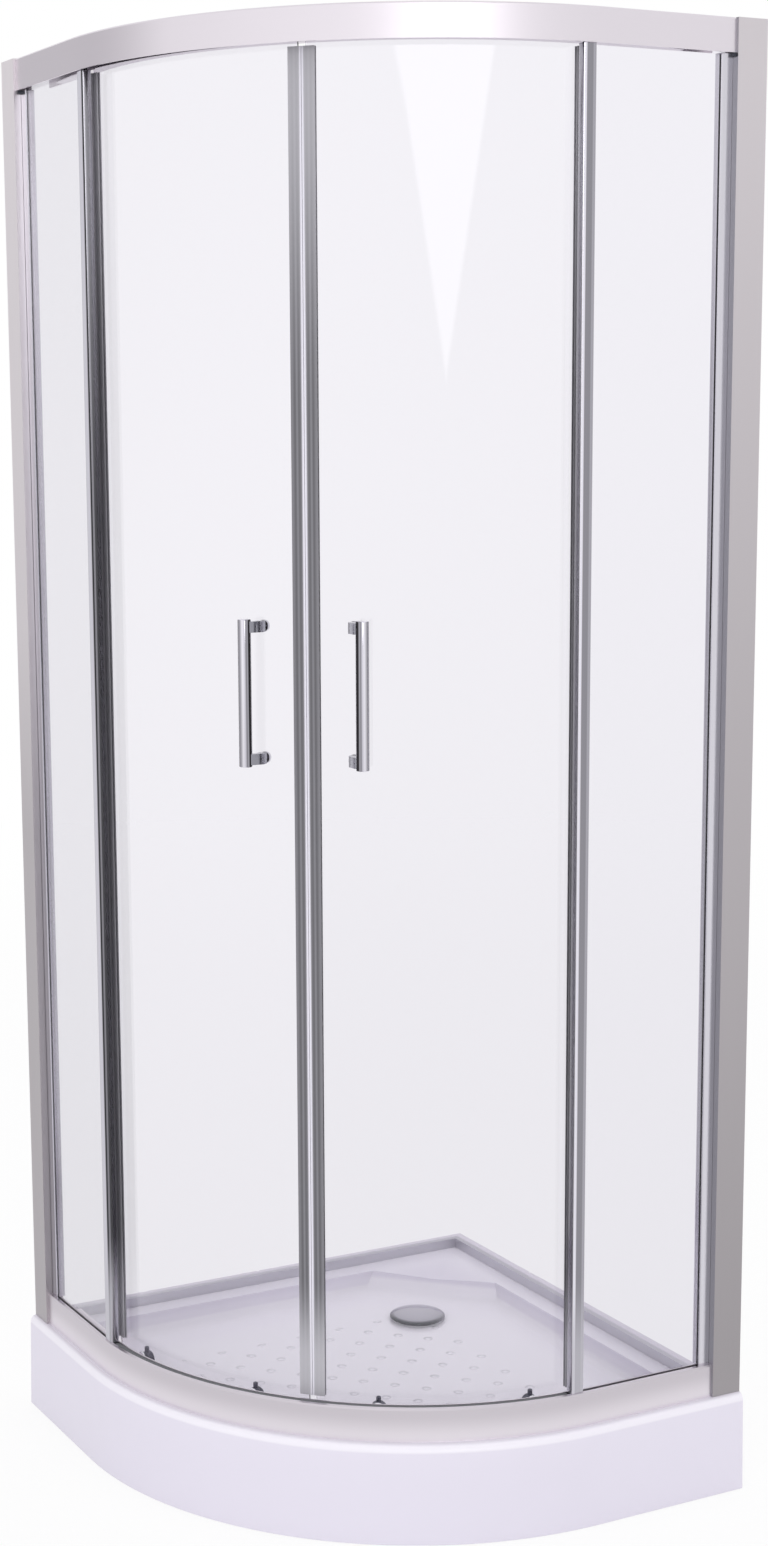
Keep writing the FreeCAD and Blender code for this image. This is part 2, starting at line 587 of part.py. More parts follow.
def top_rail():
    """Rail open below, with a glazing groove between two ribs and a ledge for the rollers."""
    low = TOP_RAIL_BOTTOM
    top = OVERALL_HEIGHT
    wall = RAIL_WALL
    back = RAIL_BACK
    ceiling = top - wall
    rib = top - 25.0
    ledge = low + LEDGE_RISE
    ledge_tip = ROLLER_INSET - 6.5
    section = [(RAIL_INSET, low), (RAIL_INSET, top - RAIL_BEVEL), (RAIL_INSET + RAIL_BEVEL, top),
               (back, top), (back, ledge), (ledge_tip, ledge), (ledge_tip, ledge + wall),
               (back - wall, ledge + wall), (back - wall, ceiling),
               (GROOVE_OUT + GROOVE_WALL, ceiling), (GROOVE_OUT + GROOVE_WALL, rib),
               (GROOVE_OUT, rib), (GROOVE_OUT, ceiling), (GROOVE_IN, ceiling), (GROOVE_IN, rib),
               (GROOVE_IN - GROOVE_WALL, rib), (GROOVE_IN - GROOVE_WALL, ceiling),
               (RAIL_INSET + wall, ceiling), (RAIL_INSET + wall, low)]
    lip_top = TOP_WHEEL_HEIGHT - GROOVE_RADIUS - ROLLING_GAP
    lip = track_ring(LIP_INNER, LIP_OUTER, ledge, lip_top, ridge=LIP_RIDGE)
    passage = track_ring(LIP_OUTER, LIP_OUTER + 20.0, ledge - 1.0, ledge + wall + 1.0,
                         front_margin=ROLLER_RADIUS * math.radians(FRONT_ROLLER_ANGLE))
    tail = box(vec(-HALF + GROOVE_OUT, TRACK_END, ledge - 1.0),
               vec(-HALF + back - wall, RAIL_END + 1.0, lip_top + 1.0))
    rail = follow_rail(rail_face(section)).fuse([lip, to_right(lip)])
    return rail.cut([passage, to_right(passage), tail, to_right(tail)]).removeSplitter()


save("bottom_rail", bottom_rail())
save("top_rail", top_rail())


def sill_filler():
    """Strip that closes the lower rail's glazing groove across the doorway."""
    radius_out = CORNER_RADIUS - GROOVE_IN - GLASS_CLEARANCE
    radius_in = CORNER_RADIUS - GROOVE_OUT + GLASS_CLEARANCE
    start = math.degrees(math.asin((CENTRE - END_PROFILE_START + 2.0) / radius_in))
    strip = ring_wall(radius_in, radius_out, CURVE_START + start, CURVE_END - start,
                      BOTTOM_RAIL_TOP - GROOVE_DEEP, BOTTOM_RAIL_TOP - 1.2)
    strip.translate(vec(CENTRE, CENTRE))
    return strip


save("sill_filler", sill_filler())


# ---- wall profiles, glazing profiles and fixed panels, for the left side
def wall_profile():
    """Channel against the room wall, with lips that guide the glazing profile."""
    wall = PROFILE_WALL
    face = WALL_PROFILE_INSET
    back = face + WALL_PROFILE_DEPTH
    edge = RAIL_END
    lip = GLAZING_INSET - 0.3
    rear_lip = GLAZING_INSET + GLAZING_DEPTH + 0.3
    plan = [(face, edge), (face, HALF), (back, HALF), (back, edge), (rear_lip, edge),
            (rear_lip, edge + wall), (back - wall, edge + wall), (back - wall, HALF - wall),
            (face + wall, HALF - wall), (face + wall, edge + wall), (lip, edge + wall), (lip, edge)]
    body = upright(plan, TRAY_HEIGHT, OVERALL_HEIGHT)
    middle = -HALF + GLAZING_INSET + GLAZING_DEPTH / 2.0
    holes = [cylinder(SCREW_HOLE_RADIUS, vec(middle, HALF - wall - 1.0, height),
                      vec(middle, HALF + 1.0, height)) for height in wall_hole_heights()]
    return body.cut(holes)


def wall_hole_heights():
    middle = (TRAY_HEIGHT + OVERALL_HEIGHT) / 2.0
    return [middle - WALL_HOLE_PITCH, middle, middle + WALL_HOLE_PITCH]


def glazing_profile():
    """Box section that slides in the wall profile and holds the edge of the pane."""
    face = GLAZING_INSET
    back = face + GLAZING_DEPTH
    slot_in = FIXED_SLOT_INSET
    slot_out = slot_in + SLOT_WIDTH
    near = RAIL_END - GLAZING_SIGHT
    far = RAIL_END + GLAZING_HIDDEN
    wall = PROFILE_WALL
    bead = 0.8
    plan = [(face, near + bead), (face, far), (back, far), (back, near + bead),
            (back - bead, near), (slot_out, near), (slot_out, near + FIXED_SLOT_DEPTH),
            (slot_in, near + FIXED_SLOT_DEPTH), (slot_in, near), (face + bead, near)]
    hollow = rectangle(face + wall, back - wall, near + FIXED_SLOT_DEPTH + wall, far - wall)
    low = BOTTOM_RAIL_TOP
    high = TOP_RAIL_BOTTOM
    return upright(plan, low, high).cut(upright(hollow, low - 1.0, high + 1.0))


def fixed_glass():
    start = END_PROFILE_START + END_PROFILE_WIDTH - FIXED_SLOT_DEPTH
    end = RAIL_END - GLAZING_SIGHT + FIXED_SLOT_DEPTH
    plan = rectangle(FIXED_GLASS_INSET, FIXED_GLASS_INSET + FIXED_GLASS, start, end)
    return upright(plan, BOTTOM_RAIL_TOP - GROOVE_DEEP, OVERALL_HEIGHT - 10.0)


def end_profile():
    """Rounded profile on the free edge of a fixed pane."""
    face = END_PROFILE_INSET
    back = face + END_PROFILE_DEPTH
    slot_in = FIXED_SLOT_INSET
    slot_out = slot_in + SLOT_WIDTH
    near = END_PROFILE_START
    far = near + END_PROFILE_WIDTH
    slot = far - FIXED_SLOT_DEPTH
    nose = 2.0
    plan = [(face, near + nose), (face + 0.6, near + 0.6), (face + nose, near),
            (back - nose, near), (back - 0.6, near + 0.6), (back, near + nose), (back, far),
            (slot_out, far), (slot_out, slot), (slot_in, slot), (slot_in, far), (face, far)]
    return upright(plan, BOTTOM_RAIL_TOP, TOP_RAIL_BOTTOM)


save_pair("wall_profile", wall_profile())
save_pair("glazing_profile", glazing_profile())
save_pair("fixed_glass", fixed_glass())
save_pair("end_profile", end_profile())


# ---- connector blocks, corner stops and door stops
def rail_block(low):
    """Moulded block that joins a rail to the wall profile, with a tongue along the rail."""
    near = GROOVE_OUT + GROOVE_WALL
    hook_back = WALL_PROFILE_INSET + WALL_PROFILE_DEPTH - PROFILE_WALL
    neck_back = GLAZING_INSET + GLAZING_DEPTH
    inside = RAIL_END + PROFILE_WALL
    plans = [rectangle(near, near + TONGUE_WIDTH, RAIL_END - TONGUE_LENGTH, RAIL_END),
             rectangle(near, neck_back, RAIL_END, inside),
             rectangle(near, hook_back, inside, inside + HOOK_LENGTH)]
    parts = [upright(plan, low, low + TONGUE_RISE) for plan in plans]
    return parts[0].fuse(parts[1:]).removeSplitter()


def corner_stop():
    """Small pad in the corner between the top rail's face and the wall profile."""
    plan = rectangle(RAIL_INSET + 0.5, GLAZING_INSET - 0.1, RAIL_END - CORNER_STOP_WIDTH,
                     RAIL_END)
    return upright(plan, TOP_RAIL_BOTTOM - CORNER_STOP_HEIGHT, TOP_RAIL_BOTTOM)


def door_stop():
    """Rubber buffer on the upper track, met by the rear wheel of an open door."""
    low = TOP_RAIL_BOTTOM + LEDGE_RISE + RAIL_WALL
    near = OPEN_ANGLE - math.degrees(STOP_DISTANCE / TRACK_RADIUS)
    far = near - math.degrees(STOP_LENGTH / TRACK_RADIUS)
    buffer = ring_wall(LIP_INNER - STOP_WIDTH, LIP_INNER, far, near, low, low + STOP_HEIGHT)
    buffer.translate(DOOR_AXIS)
    return buffer


save_both("rail_blocks_bottom", rail_block(BOTTOM_BLOCK_LOW))
save_both("rail_blocks_top", rail_block(TOP_BLOCK_LOW))
save_both("corner_stops", corner_stop())
save_both("door_stops", door_stop())


# ---- doors, for the left side
class Station:
    """A place on the door's glass: along is towards the seam, out is away from the shower."""

    def __init__(self, angle):
        turn = math.radians(angle)
        self.out = vec(math.cos(turn), math.sin(turn))
        self.along = vec(-math.sin(turn), math.cos(turn))
        self.spot = polar(DOOR_RADIUS, angle)

    def point(self, along, out, height):
        return self.spot + self.along * along + self.out * out + vec(0, 0, height)

    def bar(self, plan, bottom, top):
        """An upright bar from a plan of along and out."""
        corners = [self.point(along, out, bottom) for along, out in plan]
        return face_of(corners).extrude(vec(0, 0, top - bottom))

    def rod(self, radius, height, start, end):
        """A round rod square to the glass."""
        return cylinder(radius, self.point(0, start, height), self.point(0, end, height))

    def turned(self, points, height):
        """A solid of revolution square to the glass, from points of radius and out."""
        section = face_of([self.point(0, out, height + radius) for radius, out in points])
        return section.revolve(self.point(0, 0, height), self.out, 360.0)

    def upright_rod(self, radius, out, bottom, top):
        return cylinder(radius, self.point(0, out, bottom), self.point(0, out, top))


def from_seam(distance):
    """Angle of a place on the left door at a distance along the glass from the seam."""
    return SEAM_ANGLE - math.degrees(distance / DOOR_RADIUS)


HALF_GLASS = DOOR_GLASS / 2.0
LEAD_ANGLE = from_seam(MAGNET_NOSE + SEAL_WALL + SEAM_GAP / 2.0)
TAIL_ANGLE = 180.0 + math.degrees(math.asin((CENTRE - DOOR_TAIL) / DOOR_RADIUS))
POST_ANGLE = from_seam(POST_FROM_SEAM)
HUB_HEIGHT = DOOR_GLASS_BOTTOM + HOLE_MARGIN
SEAL_BOTTOM = BOTTOM_RAIL_TOP + 1.5
SEAL_TOP = TOP_RAIL_BOTTOM - 1.5
POST_SPREAD = HANDLE_LENGTH / 2.0 - POST_END_GAP - POST_HEIGHT / 2.0
POST_HEIGHTS = [HANDLE_HEIGHT - POST_SPREAD, HANDLE_HEIGHT + POST_SPREAD]
ROLLER_ANGLES = {"front": FRONT_ROLLER, "rear": REAR_ROLLER}


def door_glass():
    pane = ring_wall(DOOR_RADIUS - HALF_GLASS, DOOR_RADIUS + HALF_GLASS, TAIL_ANGLE, LEAD_ANGLE,
                     DOOR_GLASS_BOTTOM, DOOR_GLASS_TOP)
    pane.translate(vec(CENTRE, CENTRE))
    holes = []
    for angle in ROLLER_ANGLES.values():
        for height in (HUB_HEIGHT, TOP_WHEEL_HEIGHT):
            holes.append(Station(angle).rod(HOLE_RADIUS, height, -20.0, 20.0))
    for height in POST_HEIGHTS:
        radius = BOLT_RADIUS + BOLT_CLEARANCE
        holes.append(Station(POST_ANGLE).rod(radius, height, -20.0, 20.0))
    return pane.cut(holes)


def magnet_plan():
    side = HALF_GLASS + SEAL_SLACK + SEAL_WALL
    return rectangle(SEAL_WALL, SEAL_WALL + MAGNET_NOSE - 0.9, -side + 0.9, side - 0.9)


def magnet_seal():
    """Channel on the leading edge, with the hollow nose that holds the magnet strip."""
    grip = HALF_GLASS + SEAL_SLACK
    side = grip + SEAL_WALL
    front = SEAL_WALL + MAGNET_NOSE
    plan = [(-SEAL_LEG, grip), (0, grip), (0, -grip), (-SEAL_LEG, -grip), (-SEAL_LEG, -side),
            (front, -side), (front, side), (-SEAL_LEG, side)]
    here = Station(LEAD_ANGLE)
    pocket = here.bar(magnet_plan(), SEAL_BOTTOM - 1.0, SEAL_TOP + 1.0)
    return here.bar(plan, SEAL_BOTTOM, SEAL_TOP).cut(pocket)


def edge_seal():
    """Channel on the trailing edge, with a fin towards the fixed panel."""
    grip = HALF_GLASS + SEAL_SLACK
    side = grip + SEAL_WALL
    end = -SEAL_WALL
    fin = end + 1.2
    plan = [(SEAL_LEG, grip), (0, grip), (0, -grip), (SEAL_LEG, -grip), (SEAL_LEG, -side),
            (end, -side), (end, EDGE_SEAL_REACH), (fin, EDGE_SEAL_REACH), (fin, side),
            (SEAL_LEG, side)]
    return Station(TAIL_ANGLE).bar(plan, SEAL_BOTTOM, SEAL_TOP)


save_pair("door_glass", door_glass())
save_pair("magnet_seal", magnet_seal())
save_pair("magnet_strip", Station(LEAD_ANGLE).bar(magnet_plan(), SEAL_BOTTOM, SEAL_TOP))
save_pair("edge_seal", edge_seal())


# ---- handles
POST = Station(POST_ANGLE)
BAR_OUT = HALF_GLASS + HANDLE_STAND_OFF


def handle_rod(radius, bottom, top):
    start = POST.point(-POST_TO_BAR, BAR_OUT, bottom)
    return cylinder(radius, start, start + vec(0, 0, top - bottom))


def handle_bar():
    """Round bar with its two ends bevelled."""
    low = HANDLE_HEIGHT - HANDLE_LENGTH / 2.0
    bar = handle_rod(HANDLE_RADIUS, low, low + HANDLE_LENGTH)
    rims = [edge for edge in bar.Edges if edge.BoundBox.ZLength < 0.01]
    return bar.makeChamfer(HANDLE_END_BEVEL, rims)


def handle_post(height):
    """Post from the glass, slanting out to its seat on the side of the bar."""
    half = POST_WIDTH / 2.0
    face = HALF_GLASS
    plan = [(-half, face), (half, face), (half, face + 9.0), (-half + 0.5, BAR_OUT + 2.0),
            (-POST_TO_BAR + 4.5, BAR_OUT + 2.0), (-POST_TO_BAR + 4.5, BAR_OUT - 6.0),
            (-half, face + 10.0)]
    low = height - POST_HEIGHT / 2.0
    post = POST.bar(plan, low, low + POST_HEIGHT)
    bolt = POST.rod(BOLT_RADIUS, height, -20.0, face + 6.0)
    return post.cut([handle_rod(HANDLE_RADIUS, low - 1.0, low + POST_HEIGHT + 1.0), bolt])


def handle_nut(height):
    """Round capped bolt through the glass from the shower side into the post."""
    back = -HALF_GLASS - SEAT_GAP
    return POST.turned([(0, HALF_GLASS + 6.0), (BOLT_RADIUS, HALF_GLASS + 6.0),
                        (BOLT_RADIUS, back), (NUT_RADIUS, back), (NUT_RADIUS, back - NUT_HEIGHT),
                        (0, back - NUT_HEIGHT)], height)


save_pair("handle_bar", handle_bar())
save_pair("handle_posts", *[handle_post(height) for height in POST_HEIGHTS])
save_pair("handle_nuts", *[handle_nut(height) for height in POST_HEIGHTS])


# ---- rollers
ROLLER_OUT = DOOR_GLASS_INSET - ROLLER_INSET
BACK_FACE = -HALF_GLASS - SEAT_GAP
HALF_WHEEL = WHEEL_WIDTH / 2.0


def hub(here, height):
    """Boss through the hole in the glass, flush with the pane's outer face."""
    return here.rod(HOLE_RADIUS - HUB_CLEARANCE, height, BACK_FACE - 1.0, HALF_GLASS)


def top_bracket(angle):
    """Square plate behind the glass with a hub through it and a headed pin for the wheel."""
    here = Station(angle)
    height = TOP_WHEEL_HEIGHT
    half = BRACKET_RADIUS
    plate_back = BACK_FACE - PLATE_THICKNESS
    plate = here.bar(rectangle(-half, half, plate_back, BACK_FACE), height - half, height + half)
    end = ROLLER_OUT - HALF_WHEEL - ROLLING_GAP
    pin = here.rod(AXLE_RADIUS, height, plate_back + 0.5, end)
    head = here.rod(AXLE_HEAD, height, end, end - 1.0)
    return plate.fuse([hub(here, height), pin, head]).removeSplitter()


def roller_wheel(angle, height):
    """Wheel whose V groove straddles the ridge of the track's lip."""
    inner = ROLLER_OUT - HALF_WHEEL
    outer = ROLLER_OUT + HALF_WHEEL
    bore = AXLE_RADIUS + AXLE_CLEARANCE
    return Station(angle).turned([(bore, outer), (WHEEL_RADIUS, outer), (GROOVE_RADIUS, ROLLER_OUT),
                                  (WHEEL_RADIUS, inner), (bore, inner)], height)


def button_top():
    return BOTTOM_WHEEL_HEIGHT + HOUSING_RISE + BUTTON_RISE


def button_bottom():
    return BOTTOM_WHEEL_HEIGHT + HOUSING_RISE - BUTTON_SEAT


def roller_housing(angle):
    """Domed cover on the shower side of the glass, open below, with the wheel's pin in it."""
    here = Station(angle)
    top = BOTTOM_WHEEL_HEIGHT + HOUSING_RISE
    shoulder = top - BRACKET_RADIUS

    def spot(along, height):
        return here.point(along, BACK_FACE, height)

    dome = Part.Arc(spot(-BRACKET_RADIUS, shoulder), spot(0, top), spot(BRACKET_RADIUS, shoulder))
    base = Part.makePolygon([spot(BRACKET_RADIUS, shoulder), spot(BRACKET_RADIUS, HOUSING_BOTTOM),
                             spot(-BRACKET_RADIUS, HOUSING_BOTTOM),
                             spot(-BRACKET_RADIUS, shoulder)])
    outline = Part.Face(Part.Wire([dome.toShape()] + base.Edges))
    body = outline.extrude(here.out * -HOUSING_DEPTH)
    plate = BACK_FACE - PLATE_THICKNESS - 0.4
    cheek = ROLLER_OUT - HALF_WHEEL - ROLLING_GAP
    room = WHEEL_RADIUS + 0.6
    pocket = here.bar(rectangle(-room, room, cheek, plate), HOUSING_BOTTOM - 1.0,
                      BOTTOM_WHEEL_HEIGHT + room)
    well = here.upright_rod(BUTTON_RADIUS + AXLE_CLEARANCE, BUTTON_OUT,
                            button_bottom() - BUTTON_TRAVEL - 0.2, top + 1.0)
    pin = here.rod(AXLE_RADIUS, BOTTOM_WHEEL_HEIGHT, plate + 0.5, cheek - 0.5)
    return body.cut([pocket, well]).fuse([pin, hub(here, HUB_HEIGHT)]).removeSplitter()


def release_button(angle):
    """Sprung pin on the dome; pressing it frees the lower wheel from its track."""
    spot = Station(angle).point(0, BUTTON_OUT, 0)
    low = button_bottom()
    high = button_top()
    return turned([(0, low), (BUTTON_RADIUS, low), (BUTTON_RADIUS, high), (0, high)],
                  spot.x, spot.y)


def roller_cap(angle, height):
    """Screw cap on the outside of the glass, seated on the hub."""
    seat = HALF_GLASS + 0.02
    return Station(angle).turned([(0, seat), (CAP_RADIUS, seat), (CAP_RADIUS, seat + CAP_HEIGHT),
                                  (0, seat + CAP_HEIGHT)], height)


BUTTON_OUT = BACK_FACE - HOUSING_DEPTH / 2.0
save_pair("top_roller_brackets", *[top_bracket(angle) for angle in ROLLER_ANGLES.values()])
save_pair("roller_caps", *[roller_cap(angle, height) for angle in ROLLER_ANGLES.values()
                           for height in (HUB_HEIGHT, TOP_WHEEL_HEIGHT)])
for place, angle in ROLLER_ANGLES.items():
    save_pair("top_wheel_" + place, roller_wheel(angle, TOP_WHEEL_HEIGHT))
    save_pair("bottom_wheel_" + place, roller_wheel(angle, BOTTOM_WHEEL_HEIGHT))
    save_pair("roller_housing_" + place, roller_housing(angle))
    save_pair("release_button_" + place, release_button(angle))
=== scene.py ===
# %% [markdown]
# # A quadrant shower enclosure
#
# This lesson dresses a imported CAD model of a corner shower: a raised white tray, two flat fixed
# panes, two curved doors that slide round on rollers, satin rails and bright bar handles. The
# CAD model already has every piece at its real size, in metres, with +Z up. Our work is the look:
# smooth surfaces, honest materials, soft light and a camera where the photographer stood.

import json
import math

import bmesh
import bpy
from mathutils import Matrix, Vector


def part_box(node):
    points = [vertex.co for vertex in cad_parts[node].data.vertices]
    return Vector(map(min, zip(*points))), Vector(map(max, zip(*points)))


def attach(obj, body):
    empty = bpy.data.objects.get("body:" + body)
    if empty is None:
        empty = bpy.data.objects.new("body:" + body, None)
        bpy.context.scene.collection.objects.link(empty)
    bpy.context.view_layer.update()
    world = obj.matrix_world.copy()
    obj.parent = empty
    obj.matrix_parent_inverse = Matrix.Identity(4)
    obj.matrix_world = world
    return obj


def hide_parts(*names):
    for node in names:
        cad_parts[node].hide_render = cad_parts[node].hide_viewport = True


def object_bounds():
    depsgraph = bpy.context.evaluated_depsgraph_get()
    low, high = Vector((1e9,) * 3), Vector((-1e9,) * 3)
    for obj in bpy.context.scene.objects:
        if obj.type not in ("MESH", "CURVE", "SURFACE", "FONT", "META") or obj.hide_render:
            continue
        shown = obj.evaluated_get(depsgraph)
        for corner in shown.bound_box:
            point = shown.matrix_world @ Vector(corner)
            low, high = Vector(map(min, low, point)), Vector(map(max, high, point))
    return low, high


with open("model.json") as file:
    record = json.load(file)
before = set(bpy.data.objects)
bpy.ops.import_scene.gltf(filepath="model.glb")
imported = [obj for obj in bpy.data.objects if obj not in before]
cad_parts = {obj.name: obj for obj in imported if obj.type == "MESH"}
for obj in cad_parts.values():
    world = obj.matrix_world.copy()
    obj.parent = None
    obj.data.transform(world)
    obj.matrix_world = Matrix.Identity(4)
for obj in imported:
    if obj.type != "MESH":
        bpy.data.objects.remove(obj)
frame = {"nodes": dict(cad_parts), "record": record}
cad_bounds = [list(corner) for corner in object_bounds()]
print("box in metres:", cad_bounds)

# %% [markdown]
# ## Shader maths written as sums
#
# A material is a small network of nodes. Wiring one by hand hides the idea, so we wrap a socket
# in a class that knows how to add, subtract, multiply and divide. Writing `1 - mask` then makes
# the Math node for us. Numbers that never change are worked out in Python and set on the socket
# itself.

# %% A socket that knows arithmetic
class Signal:
    """One output socket of a node network, with sums written as Python expressions."""

    def __init__(self, network, socket):
        self.network = network
        self.socket = socket

    def _sum(self, operation, first, second=0.0):
        return self.network.node("ShaderNodeMath", {"operation": operation},
                                 {0: first, 1: second})[0]

    def __add__(self, other):
        return self._sum("ADD", self, other)

    def __radd__(self, other):
        return self._sum("ADD", other, self)

    def __sub__(self, other):
        return self._sum("SUBTRACT", self, other)

    def __rsub__(self, other):
        return self._sum("SUBTRACT", other, self)

    def __mul__(self, other):
        return self._sum("MULTIPLY", self, other)

    def __rmul__(self, other):
        return self._sum("MULTIPLY", other, self)

    def __truediv__(self, other):
        return self._sum("DIVIDE", self, other)

    def __rtruediv__(self, other):
        return self._sum("DIVIDE", other, self)

    def __pow__(self, other):
        return self._sum("POWER", self, other)

    def __abs__(self):
        return self._sum("ABSOLUTE", self)

    def at_least(self, other):
        return self._sum("MAXIMUM", self, other)

    def at_most(self, other):
        return self._sum("MINIMUM", self, other)

    def rise(self, start, end):
        """0 up to start, 1 from end on, and an even slope between them."""
        return self.network.node("ShaderNodeMapRange", {"interpolation_type": "SMOOTHSTEP"},
                                 {0: self, 1: start, 2: end, 3: 0.0, 4: 1.0})[0]

    def band(self, start, end, soft):
        """1 between two values and 0 outside, with soft edges."""
        return self.rise(start - soft, start) * (1.0 - self.rise(end, end + soft))


# %% [markdown]
# ## A network that adds its own nodes
#
# Materials and the world are both node networks. `node` adds any node from its type, its settings
# and the values or links of its sockets, and hands back its outputs as signals, so the rest of
# the lesson can say what a surface is like instead of how the boxes are wired.

# %% The network class
NORMAL, OBJECT_POINT = 1, 3             # outputs of the Texture Coordinate node
CAMERA_RAY, GLOSSY_RAY, GLASS_RAY = 0, 3, 6     # outputs of the Light Path node


def cool_grey(value):
    """A grey with the faint lavender cast of the studio."""
    return (value, value * 0.98, min(1.0, value * 1.07), 1.0)


def warm_grey(value):
    """A grey with the faint warmth of anodised aluminium."""
    return (min(1.0, value * 1.02), value * 0.965, value * 0.99, 1.0)


class Network:
    """A tree of shader nodes."""

    def __init__(self, tree):
        self.tree = tree

    def feed(self, socket, value):
        """Give a socket a number, a colour or a signal."""
        if isinstance(value, Signal):
            self.tree.links.new(value.socket, socket)
        elif socket.type == "RGBA" and len(value) == 3:
            socket.default_value = (*value, 1.0)
        else:
            socket.default_value = value

    def node(self, kind, settings=None, inputs=None):
        """Add a node and return its outputs as signals."""
        made = self.tree.nodes.new(kind)
        for name, value in (settings or {}).items():
            setattr(made, name, value)
        for name, value in (inputs or {}).items():
            self.feed(made.inputs[name], value)
        return [Signal(self, output) for output in made.outputs]

    def blend(self, share, first, second):
        """Mix two colours by a share between 0 and 1."""
        mixed = self.node("ShaderNodeMix", {"data_type": "RGBA"}, {0: share, 6: first, 7: second})
        return mixed[2]

    def shades(self, signal, stops, colour=cool_grey):
        """The grey for each value of a signal, blended between (value, grey) stops."""
        made = self.tree.nodes.new("ShaderNodeValToRGB")
        ramp = made.color_ramp
        first, last = ramp.elements[0], ramp.elements[1]
        first.position = stops[0][0]
        first.color = colour(stops[0][1])
        last.position = stops[-1][0]
        last.color = colour(stops[-1][1])
        for place, grey in stops[1:-1]:
            ramp.elements.new(place).color = colour(grey)
        self.feed(made.inputs[0], signal)
        return Signal(self, made.outputs[0])

    def seen(self):
        """1 for what the camera sees, straight or through glass, and 0 for other rays."""
        paths = self.node("ShaderNodeLightPath")
        return paths[CAMERA_RAY].at_least(paths[GLASS_RAY])

    def toward(self, direction, azimuth):
        """Cosine of the angle between a level direction and an azimuth."""
        turn = math.radians(azimuth)
        level = (math.cos(turn), math.sin(turn), 0.0)
        return self.node("ShaderNodeVectorMath", {"operation": "DOT_PRODUCT"},
                         {0: direction, 1: level})[1]


# %% [markdown]
# ## One class for every finish
#
# Each finish on the shower is one material with a Principled BSDF. A perfectly even surface looks
# false, so every finish gets a little unevenness in its roughness, its colour or its normal.

# %% The finish class
class Finish(Network):
    """A material around one Principled BSDF."""

    def __init__(self, name, **values):
        self.material = bpy.data.materials.new(name)
        self.material.use_nodes = True
        super().__init__(self.material.node_tree)
        self.shader = self.tree.nodes["Principled BSDF"]
        for socket, value in values.items():
            self.set(socket.replace("_", " "), value)

    def set(self, name, value):
        """Give one of the shader's own sockets a number, a colour or a signal."""
        self.feed(self.shader.inputs[name], value)

    def point(self):
        """The place on the surface, in metres, in the frame of its piece."""
        return self.node("ShaderNodeTexCoord")[OBJECT_POINT]

    def normal(self):
        """The direction that the surface faces, in the frame of its piece."""
        return self.node("ShaderNodeTexCoord")[NORMAL]

    def place(self):
        """The x, y and z of that point as three signals."""
        return self.node("ShaderNodeSeparateXYZ", None, {0: self.point()})

    def on_left(self):
        """1 on the left half of the shower and 0 on its mirror image."""
        x, y = self.place()[:2]
        return (y - x).rise(-0.0001, 0.0001)

    def outer_share(self, start=0.75, end=0.85):
        """1 where a surface faces as straight out of the shower as a flat side does."""
        split = self.node("ShaderNodeSeparateXYZ", None, {0: self.normal()})
        left = self.on_left()
        facing_out = left * abs(split[0]) + (1.0 - left) * abs(split[1])
        return facing_out.rise(start, end)

    def noise(self, scale, detail=2.0, stretch=(1, 1, 1)):
        """A soft cloud of values between 0 and 1."""
        mapped = self.node("ShaderNodeMapping", None, {"Vector": self.point(), "Scale": stretch})
        return self.node("ShaderNodeTexNoise", None,
                         {"Vector": mapped[0], "Scale": scale, "Detail": detail})[0]

    def uneven(self, scale, amount, stretch=(1, 1, 1)):
        """Let the roughness wander about the value that the shader already has."""
        middle = self.shader.inputs["Roughness"].default_value
        cloud = self.noise(scale, 2.0, stretch)
        self.set("Roughness", middle - amount / 2 + cloud * amount)

    def bump(self, height, strength, distance):
        """Tilt the surface by a height signal."""
        made = self.node("ShaderNodeBump", None,
                         {"Height": height, "Strength": strength, "Distance": distance})
        self.set("Normal", made[0])


# %% [markdown]
# ## Smooth surfaces from CAD solids
#
# A CAD solid arrives as flat triangles. On the real shower a rail or a curved pane is one smooth
# sweep, so each piece is welded and shaded smooth, and only its true edges stay sharp. We copy
# the node's mesh, never the node itself, name the copy after the node and hide the node.

# %% Dress a node
def body_of_node(node):
    """The moving body that carries a CAD node."""
    for body, nodes in frame["record"]["behaviour"]["bodies"].items():
        if node in nodes:
            return body
    return None


def slot_of_node(node):
    """The material slot that the record gives a CAD node."""
    for entry in frame["record"]["subparts"]:
        if entry["node"] == node:
            return entry["material_slot"]
    return None


def weld(mesh, sharp_degrees):
    """Join the triangles of a mesh and keep only its real edges sharp."""
    work = bmesh.new()
    work.from_mesh(mesh)
    bmesh.ops.remove_doubles(work, verts=work.verts, dist=1e-6)
    limit = math.radians(sharp_degrees)
    for face in work.faces:
        face.smooth = True
    for edge in work.edges:
        edge.smooth = len(edge.link_faces) == 2 and edge.calc_face_angle(0.0) < limit
    work.to_mesh(mesh)
    work.free()


def piece(name, mesh, finish, body, nodes=()):
    """Make an object from a mesh, give it its finish and let it ride on its body."""
    made = bpy.data.objects.new(name, mesh)
    bpy.context.scene.collection.objects.link(made)
    mesh.materials.clear()
    mesh.materials.append(finish.material)
    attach(made, body)
    if nodes:
        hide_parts(*nodes)
    return made


def dress(node, finish, sharp_degrees=35.0):
    """Show a CAD node as one smooth piece with its own finish."""
    mesh = frame["nodes"][node].data.copy()
    mesh.name = node + ".dressed"
    weld(mesh, sharp_degrees)
    return piece(node + ".dressed", mesh, finish, body_of_node(node), [node])


# %% [markdown]
# ## Acrylic
#
# The tray is vacuum-formed acrylic: glossy, very slightly wavy, with a cool tint. Its floor has
# round anti-slip bumps in a staggered lattice. They are far too low to need geometry, so a height
# signal raises them: the distance to the nearest lattice point, turned into a smooth dome.

